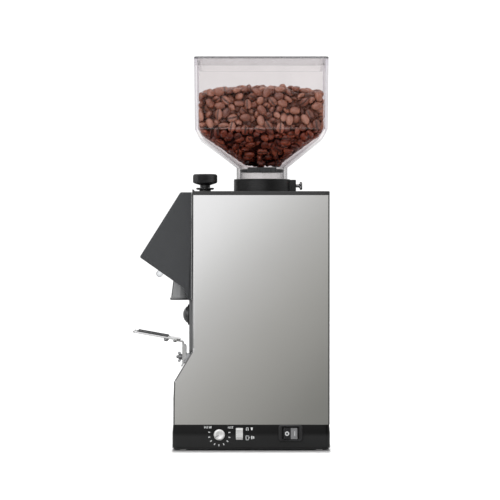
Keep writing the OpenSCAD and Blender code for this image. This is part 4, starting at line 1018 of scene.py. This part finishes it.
def pack_beans(count, steps, seed=7):
    rng = np.random.default_rng(seed)
    pts = np.zeros((0, 3))
    while len(pts) < count:
        q = rng.uniform((-55, HY - 55, 254), (55, HY + 55, 324), (count * 3, 3))
        d, _ = wall(q)
        q = q[(d < -RS) & (q[:, 2] < heap(q[:, 0], q[:, 1]) - RS)]
        pts = np.concatenate([pts, q])[:count]
    ax = rng.normal(size=(count, 3))
    ax[:, 2] *= 0.8
    ax /= np.linalg.norm(ax, axis=1)[:, None]
    P = np.concatenate([pts + ax * LINK, pts - ax * LINK])
    n = len(P)
    pair_i = pair_j = None
    for step in range(steps):
        if step % 8 == 0:
            near = []
            sq = (P ** 2).sum(1)
            for s in range(0, n, 700):
                e = min(s + 700, n)
                dd = sq[s:e, None] + sq[None, :] - 2 * P[s:e] @ P.T
                ii, jj = np.nonzero(dd < (2 * RS + 2.2) ** 2)
                keep = (ii + s < jj) & (np.abs(ii + s - jj) != count)
                near.append(np.stack([ii[keep] + s, jj[keep]]))
            pair_i, pair_j = np.concatenate(near, 1)
        dif = P[pair_i] - P[pair_j]
        dist = np.maximum(np.linalg.norm(dif, axis=1), 1e-6)
        over = np.maximum(2 * RS - dist, 0)
        push = dif / dist[:, None] * (over * 0.5 * 0.45)[:, None]
        for k in range(3):
            P[:, k] += np.bincount(pair_i, push[:, k], n) - np.bincount(pair_j, push[:, k], n)
        for _ in range(2):
            d, inward = wall(P)
            P += inward * np.maximum(d + RS, 0)[:, None]
            P[:, 2] = np.clip(P[:, 2], 253.2 + RS, heap(P[:, 0], P[:, 1]) - RS)
            A, B = P[:count], P[count:]
            m, l = (A + B) / 2, A - B
            l /= np.maximum(np.linalg.norm(l, axis=1), 1e-6)[:, None]
            P = np.concatenate([m + l * LINK, m - l * LINK])
    m = (P[:count] + P[count:]) / 2
    l = P[:count] - P[count:]
    return m, l / np.linalg.norm(l, axis=1)[:, None], rng


def bean_shape(around, along):
    """One roasted bean, length 10 mm: a domed back, a flatter face with a crease."""
    a, b = 4.8, 3.55
    # angles round the long axis; -90 degrees is the middle of the creased face
    if around == 12:
        ang = [-90, -80, -66, -36, 0, 40, 90, 140, 180, 216, 246, 260]
    else:
        ang = [-90, -72, -30, 20, 90, 160, 210, 252]
    us = [math.sin(math.pi / 2 * (2 * (i + 1) / (along + 1) - 1)) for i in range(along)]
    v, cr, f = [(-a, 0, 0)], [0.0], []
    for u in us:
        w = (1 - abs(u) ** 2.3) ** 0.5
        shift = 0.32 * math.sin(u * 2.6)
        for t in ang:
            c, s = math.cos(math.radians(t)), math.sin(math.radians(t))
            y = b * w * (abs(c) ** 0.92) * (1 if c > 0 else -1)
            z = (2.9 * w ** 0.9 * s) if s > 0 else (-1.95 * w ** 0.75 * (abs(s) ** 0.62))
            k = 0.0
            if s < -0.97:
                y = shift * (1 - abs(u)) + (0.68 if t > 200 else (-0.68 if t > -89 else 0.0)) * -1
                if t == -90:
                    k = 1.0
                    z += 1.05 * (1 - u ** 4)
                else:
                    k = 0.5
            v.append((a * u, y, z))
            cr.append(k)
    v.append((a, 0, 0))
    cr.append(0.0)
    n = len(ang)
    for i in range(n):
        j = (i + 1) % n
        f.append((0, 1 + j, 1 + i))
        for r in range(len(us) - 1):
            o = 1 + r * n
            f.append((o + i, o + j, o + n + j, o + n + i))
        o = 1 + (len(us) - 1) * n
        f.append((o + i, o + j, len(v) - 1))
    return np.array(v), cr, f


def build_beans():
    mid, lon, rng = pack_beans(1960, 110)
    d, inward = wall(mid)
    depth_top = heap(mid[:, 0], mid[:, 1]) - mid[:, 2]
    depth = np.minimum(-d, depth_top)
    fine, coarse = bean_shape(12, 7), bean_shape(8, 5)
    verts, faces, crease, rand = [], [], [], []
    base = 0
    for i in np.nonzero(depth < 8.3)[0]:
        top_side = depth_top[i] < -d[i]
        n = np.array([0, 0, 1.0]) if top_side else -inward[i]
        n = n + rng.normal(size=3) * (0.38 if not top_side else 0.7)
        if rng.random() < 0.45:
            n = -n
        x = lon[i]
        z = n - x * (n @ x)
        z /= np.linalg.norm(z)
        y = np.cross(z, x)
        shape, cr, fs = fine if depth[i] < 5.4 else coarse
        k = rng.uniform(0.93, 1.05, 3) * np.array([1.0, 1.0, 0.98])
        w = (shape * k) @ np.stack([x, y, z])
        w = w + mid[i]
        if top_side:
            w[:, 2] += rng.uniform(-0.8, 3.0)
        elif depth[i] < 4.5:
            w = w - inward[i] * 0.8
        verts.append(w)
        crease += cr
        r = rng.random()
        rand += [r] * len(cr)
        faces += [tuple(q + base for q in f) for f in fs]
        base += len(cr)
    verts = np.concatenate(verts)
    # nothing may reach into the clear wall
    for _ in range(2):
        e, inn = wall(verts)
        verts = verts + inn * np.maximum(e + 0.05, 0)[:, None]
    nb = len(faces)
    # painted shade: a near-black core behind the outer beans stands in for the shaded beans inside
    hull = []
    for z in (258, 262, 268, 274, 280, 286, 300, 316.5):
        h = float(np.interp(z, EDGE_Z, EDGE_H)) - 6.4
        hull.append(rr_ring(max(h, 9), max(h, 9), max(min(float(np.interp(z, EDGE_Z, EDGE_C)), h - 1), 4), z, 0, HY, 5))
    hv, hf = loft(hull)
    faces += [tuple(q + base for q in f) for f in hf]
    verts = np.concatenate([verts, np.array(hv)])
    crease += [1.0] * len(hv)
    rand += [0.2] * len(hv)
    e, _ = wall(verts)
    # painted shade: depth below the surface of the beans, stored in the blue channel to darken the gaps
    painted_shade_depth = np.minimum(-e, heap(verts[:, 0], verts[:, 1]) + 1.2 - verts[:, 2])
    me = bpy.data.meshes.new("coffee_bean_fill")
    me.from_pydata([tuple(p * MM) for p in verts], [], faces)
    col = me.color_attributes.new("bean", "FLOAT_COLOR", "POINT")
    flat = np.zeros((len(verts), 4), dtype=np.float32)
    flat[:, 0], flat[:, 1], flat[:, 2], flat[:, 3] = rand, crease, np.clip((painted_shade_depth - 2.4) / 5.0, 0, 1), 1
    col.data.foreach_set("color", flat.ravel())
    for p in me.polygons[nb:]:
        p.material_index = 1
    ob = bpy.data.objects.new("coffee_bean_fill", me)
    bpy.context.scene.collection.objects.link(ob)
    me.shade_smooth()
    return ob


def bean_material():
    m, nt, out = new_material("roasted_bean")
    b = nt.nodes.new("ShaderNodeBsdfPrincipled")
    nt.links.new(b.outputs["BSDF"], out.inputs["Surface"])
    b.inputs["Specular IOR Level"].default_value = 0.45
    at_ = nt.nodes.new("ShaderNodeAttribute")
    at_.attribute_name = "bean"
    sep = nt.nodes.new("ShaderNodeSeparateColor")
    nt.links.new(at_.outputs["Color"], sep.inputs["Color"])
    vec = object_coords(nt)
    n1 = noise(nt, vec, 260, 4, 0.6)
    n2 = noise(nt, vec, 1300, 3, 0.6)
    add = nt.nodes.new("ShaderNodeMath")
    add.operation = "MULTIPLY_ADD"
    add.inputs[1].default_value = 0.5
    nt.links.new(n1, add.inputs[0])
    nt.links.new(sep.outputs["Red"], add.inputs[2])
    tone = ramp(nt, remap(nt, add.outputs[0], 0.1, 1.4, 0, 1), [(0.0, (0.105, 0.029, 0.014)), (0.35, (0.175, 0.053, 0.026)), (0.7, (0.26, 0.096, 0.053)), (1.0, (0.35, 0.160, 0.105))])
    place = nt.nodes.new("ShaderNodeSeparateXYZ")
    nt.links.new(vec, place.inputs[0])
    # painted light and shade: beans above the fold, 283.5 to 288 mm, are coloured lighter and greyer, those below
    # darker and redder
    high = remap(nt, place.outputs["Z"], 0.2835, 0.288, 0.0, 1.0)
    painted_light_and_shade_by_height = nt.nodes.new("ShaderNodeMix")
    painted_light_and_shade_by_height.data_type, painted_light_and_shade_by_height.blend_type = "RGBA", "MULTIPLY"
    painted_light_and_shade_by_height.inputs["Factor"].default_value = 1.0
    nt.links.new(tone, painted_light_and_shade_by_height.inputs[6])
    nt.links.new(blend_color(nt, high, (0.98, 0.54, 0.40), (1.42, 1.48, 1.56)), painted_light_and_shade_by_height.inputs[7])
    tone = painted_light_and_shade_by_height.outputs[2]
    # painted shade: the crease is coloured near black
    dark = blend_color(nt, remap(nt, sep.outputs["Green"], 0.15, 0.9, 0.0, 1.0), tone, blend_color(nt, high, (0.026, 0.004, 0.0015), (0.072, 0.024, 0.014)))
    # painted shade: the colour darkens, and the gloss fades, with depth into the gaps between the beans
    dark = blend_color(nt, remap(nt, sep.outputs["Blue"], 0.0, 1.0, 0.0, 0.97), dark, blend_color(nt, high, (0.026, 0.0014, 0.0004), (0.125, 0.040, 0.022)))
    nt.links.new(dark, b.inputs["Base Color"])
    nt.links.new(remap(nt, sep.outputs["Blue"], 0.2, 0.8, 1.0, 0.05), b.inputs["Specular IOR Level"])
    nt.links.new(remap(nt, n1, 0.3, 0.7, 0.22, 0.44), b.inputs["Roughness"])
    bp_ = nt.nodes.new("ShaderNodeBump")
    bp_.inputs["Strength"].default_value = 0.25
    bp_.inputs["Distance"].default_value = 0.0002
    nt.links.new(n2, bp_.inputs["Height"])
    nt.links.new(bp_.outputs["Normal"], b.inputs["Normal"])
    return m


beans = build_beans()
piece(beans, bean_material(), "hopper", ("coffee_beans",))
# painted shade: the core is coloured near black
beans.data.materials.append(surface("bean_core_painted_shade", (0.016, 0.0055, 0.003), rough=0.8, spec=0.2, var=0.3, var_scale=150, grain=400, bump=0.3, depth=0.02))

# ------------------------------------------------------------------ finishes of the CAD nodes that keep their own shape
INSIDE = {
    "chassis": surface("chassis_steel", (0.48, 0.485, 0.49), rough=0.38, metal=1.0, var=0.14, var_scale=220, rvar=0.1, grain=900, bump=0.05),
    "chamber_dampers": surface("damper_rubber", (0.02, 0.02, 0.02), rough=0.7, spec=0.3, var=0.15, grain=1400, bump=0.25),
    "chamber_pillars": screw_m, "motor_tie_bolts": screw_m, "front_screws": screw_m,
    "lever_pivot_pin": surface("ground_steel", (0.56, 0.56, 0.57), rough=0.22, metal=1.0, var=0.04, grain=1500, bump=0.03, stretch=(1, 1, 8)),
    "stator": surface("stator_steel", (0.16, 0.165, 0.17), rough=0.42, metal=0.9, var=0.12, var_scale=90, grain=60, bump=0.35, depth=0.05, stretch=(0.02, 0.02, 30)),
    "stator_windings": surface("winding_copper", (0.50, 0.19, 0.075), rough=0.34, metal=0.8, var=0.18, var_scale=160, grain=900, bump=0.4, depth=0.05, coat=0.4),
    "motor_upper_shield": surface("cast_alu", (0.47, 0.475, 0.48), rough=0.46, metal=1.0, var=0.09, var_scale=110, rvar=0.08, grain=700, bump=0.22, depth=0.03),
    "outlet_duct": surface("duct_plastic", (0.55, 0.45, 0.22), rough=0.46, var=0.06, grain=900, bump=0.06),
    "anti_clump_flap": surface("flap_silicone", (0.42, 0.10, 0.05), rough=0.5, spec=0.45, var=0.05, grain=900, bump=0.06),
    "cooling_fan": surface("fan_plastic", (0.028, 0.028, 0.028), rough=0.42, var=0.08, grain=1200, bump=0.06),
    "rotor": surface("rotor_steel", (0.32, 0.32, 0.33), rough=0.33, metal=1.0, var=0.08, var_scale=60, grain=50, bump=0.2, depth=0.04, stretch=(0.02, 0.02, 30)),
    "upper_burr": surface("burr_steel", (0.58, 0.58, 0.57), rough=0.24, metal=1.0, var=0.06, var_scale=130, grain=1200, bump=0.05),
    "upper_burr_carrier": surface("machined_alu", (0.60, 0.61, 0.62), rough=0.30, metal=1.0, var=0.05, grain=1400, bump=0.06),
    "adjusting_lever": surface("lever_steel", (0.42, 0.425, 0.43), rough=0.36, metal=1.0, var=0.08, grain=900, bump=0.07),
    "adjusting_nut": surface("nut_brass", (0.66, 0.47, 0.19), rough=0.28, metal=1.0, var=0.07, grain=1100, bump=0.04),
    "control_board": surface("board_green", (0.035, 0.14, 0.06), rough=0.35, spec=0.5, var=0.25, var_scale=350, grain=900, bump=0.08),
    "run_capacitor": surface("capacitor_alu", (0.62, 0.62, 0.63), rough=0.27, metal=1.0, var=0.04, grain=900, bump=0.05, stretch=(0.1, 1, 1)),
    "timer_potentiometer": switch_m,
}
LIKE = {
    "motor_lower_shield": "motor_upper_shield", "grind_chamber": "motor_upper_shield", "lower_burr": "upper_burr",
    "lower_burr_carrier": "upper_burr_carrier", "motor_shaft": "lever_pivot_pin", "shaft_bearings": "lever_pivot_pin",
    "thrust_bearing": "lever_pivot_pin", "adjusting_spindle": "lever_pivot_pin", "burr_centre_nut": "front_screws",
    "burr_screws": "front_screws", "microswitch": "timer_potentiometer", "selector_switch": "timer_potentiometer",
    "capacitor_clamp": "chassis",
}
stood_for = set()
for o in bpy.data.objects:
    for n in o.get("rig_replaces", []):
        stood_for.add(n)
for name, ob in nodes.items():
    if name in stood_for:
        continue
    m = INSIDE.get(name) or INSIDE.get(LIKE.get(name, ""))
    if m is None:
        print("no finish for", name)
        m = screw_m
    if not ob.material_slots:
        ob.data.materials.append(m)
    for s in ob.material_slots:
        s.material = m

# ------------------------------------------------------------------ floor, light and camera
scene = bpy.context.scene
scene.view_settings.view_transform = "Standard"
scene.view_settings.look = "None"

floor_v, floor_f = lathe([(0, 0), (600, 0), (1500, 0), (6000, 0)], 96)
floor = raw("floor", (floor_v, floor_f))
floor.location.z = -0.00005
fm, nt, out = new_material("floor")
b = nt.nodes.new("ShaderNodeBsdfPrincipled")
b.inputs["Roughness"].default_value = 0.9
b.inputs["Specular IOR Level"].default_value = 0.0
nt.links.new(blend_color(nt, noise(nt, object_coords(nt), 3, 3), (0.39, 0.39, 0.39), (0.41, 0.41, 0.41)), b.inputs["Base Color"])
nt.links.new(b.outputs[0], out.inputs["Surface"])
floor.data.materials.append(fm)
floor.visible_glossy = False

world = bpy.data.worlds.new("studio")
scene.world = world
world.use_nodes = True
nt = world.node_tree
nt.nodes.clear()
wo = nt.nodes.new("ShaderNodeOutputWorld")
soft = nt.nodes.new("ShaderNodeBackground")
soft.inputs["Strength"].default_value = 1.12
soft.inputs["Color"].default_value = (1, 1, 1, 1)
gloss = nt.nodes.new("ShaderNodeBackground")
tc = nt.nodes.new("ShaderNodeTexCoord")
sx = nt.nodes.new("ShaderNodeSeparateXYZ")
nt.links.new(tc.outputs["Generated"], sx.inputs[0])
nt.links.new(ramp(nt, remap(nt, sx.outputs["Z"], -1, 1, 0, 1), [(0.0, (0.22, 0.22, 0.22)), (0.45, (0.25, 0.25, 0.25)), (0.55, (0.55, 0.55, 0.55)), (0.8, (1.0, 1.0, 1.0)), (1.0, (1.15, 1.15, 1.15))]), gloss.inputs["Color"])
gloss.inputs["Strength"].default_value = 1.0
lp = nt.nodes.new("ShaderNodeLightPath")
mx = nt.nodes.new("ShaderNodeMixShader")
nt.links.new(lp.outputs["Is Glossy Ray"], mx.inputs[0])
nt.links.new(soft.outputs[0], mx.inputs[1])
nt.links.new(gloss.outputs[0], mx.inputs[2])
nt.links.new(mx.outputs[0], wo.inputs["Surface"])


def card(name, corners, coord, stops, strength=1.0):
    """A soft light card that only shows in reflections. Its brightness runs along one direction of the card."""
    me = bpy.data.meshes.new(name)
    me.from_pydata(corners, [], [(0, 1, 2, 3)])
    ob = bpy.data.objects.new(name, me)
    scene.collection.objects.link(ob)
    m, nt, out = new_material(name)
    e = nt.nodes.new("ShaderNodeEmission")
    e.inputs["Strength"].default_value = strength
    vec = object_coords(nt)
    dot = nt.nodes.new("ShaderNodeVectorMath")
    dot.operation = "DOT_PRODUCT"
    dot.inputs[1].default_value = coord[:3]
    nt.links.new(vec, dot.inputs[0])
    lo, hi = coord[3], coord[4]
    fac = remap(nt, dot.outputs["Value"], lo, hi, 0, 1)
    nt.links.new(ramp(nt, fac, stops), e.inputs["Color"])
    nt.links.new(e.outputs[0], out.inputs["Surface"])
    me.materials.append(m)
    ob.visible_camera = ob.visible_diffuse = ob.visible_transmission = ob.visible_shadow = ob.visible_volume_scatter = False
    return ob


def grey(srgb, k=1.0):
    c = srgb / 255
    v = (c / 12.92 if c <= 0.04045 else ((c + 0.055) / 1.055) ** 2.4) * k
    return (v, v, v * 0.995)


# tone of the side card, along a slanted direction
side = [(-190, (1.4, 1.4, 1.43)), (-140, (1.3, 1.3, 1.33)), (-85, (0.9, 0.9, 0.9)), (-50, (0.75, 0.745, 0.74)),
        (30, (0.55, 0.545, 0.52)), (100, (0.43, 0.425, 0.405)), (150, (0.31, 0.31, 0.29)), (180, (0.28, 0.28, 0.265))]
S0, S1 = -190.0, 180.0
card("side_card", [(0.9, -1.1, -0.75), (0.9, 1.1, -0.75), (0.9, 1.1, 1.6), (0.9, -1.1, 1.6)],
     (0.0, 0.9545 * 1000, -0.8921 * 1000, S0 - 71.3, S1 - 71.3),
     [((v - S0) / (S1 - S0), c) for v, c in side])
soft_stops = [(0.0, (0.95, 0.95, 0.95)), (0.45, (0.62, 0.62, 0.62)), (0.75, (0.38, 0.38, 0.38)), (1.0, (0.3, 0.3, 0.3))]
card("left_card", [(-0.9, -1.2, -0.8), (-0.9, 1.2, -0.8), (-0.9, 1.2, 1.6), (-0.9, -1.2, 1.6)], (0, -0.6, -0.8, -1.2, 0.6),
     [(0.0, (1.0, 1.0, 1.0)), (0.5, (0.9, 0.9, 0.9)), (1.0, (0.62, 0.62, 0.62))])
dark = [(0.0, (0.09, 0.09, 0.09)), (1.0, (0.09, 0.09, 0.09))]
card("front_edge_card", [(0.88, -1.1, -0.75), (0.88, -0.15, -0.75), (0.88, -0.15, 0.072), (0.88, -1.1, 0.072)], (0, 1, 0, 0, 1), dark)
card("back_edge_card", [(0.88, 0.19, -0.75), (0.88, 1.1, -0.75), (0.88, 1.1, 1.6), (0.88, 0.19, 1.6)], (0, 1, 0, 0, 1), dark)
card("front_card", [(-0.8, -1.1, -0.8), (0.8, -1.1, -0.8), (0.8, -1.1, 1.6), (-0.8, -1.1, 1.6)], (0.5, 0, -0.85, -1.2, 0.6), soft_stops)
card("back_card", [(-0.8, 1.3, -0.8), (0.8, 1.3, -0.8), (0.8, 1.3, 1.6), (-0.8, 1.3, 1.6)], (0.4, 0, -0.9, -1.3, 0.6), soft_stops)

cam_data = bpy.data.cameras.new("camera")
cam = bpy.data.objects.new("camera", cam_data)
scene.collection.objects.link(cam)
cam.location = (3.258, 0.01535, 0.178)
cam.rotation_euler = (math.pi / 2, 0, math.pi / 2)
cam_data.lens, cam_data.sensor_width = 259.5, 36
cam_data.clip_end = 60
scene.camera = cam


def lamp(name, loc, aim, size, power, size_y=None):
    d = bpy.data.lights.new(name, "AREA")
    d.energy, d.size = power, size
    if size_y:
        d.shape, d.size_y = "RECTANGLE", size_y
    o = bpy.data.objects.new(name, d)
    scene.collection.objects.link(o)
    o.location = loc
    o.rotation_euler = (Vector(aim) - Vector(loc)).to_track_quat("-Z", "Y").to_euler()
    return o


lamp("key", (1.6, -1.4, 2.2), (0, 0, 0.15), 1.4, 14)
# light from behind that only falls on the floor, where it leaves a narrow soft shadow in front of the base
only_floor = bpy.data.collections.new("floor_only")
only_floor.objects.link(floor)
only_base = bpy.data.collections.new("base_only")
only_base.objects.link(base)
only_base.objects.link(bp)
for i, (lean, energy) in enumerate(((44, 3.7), (58, 3.3), (66, 4.6))):
    d = bpy.data.lights.new("low_%d" % i, "SUN")
    d.energy, d.angle = energy, math.radians(6)
    o = bpy.data.objects.new("low_%d" % i, d)
    scene.collection.objects.link(o)
    o.rotation_euler = (0, -math.radians(lean), 0)
    o.light_linking.receiver_collection = only_floor
    o.light_linking.blocker_collection = only_base

bpy.context.view_layer.update()
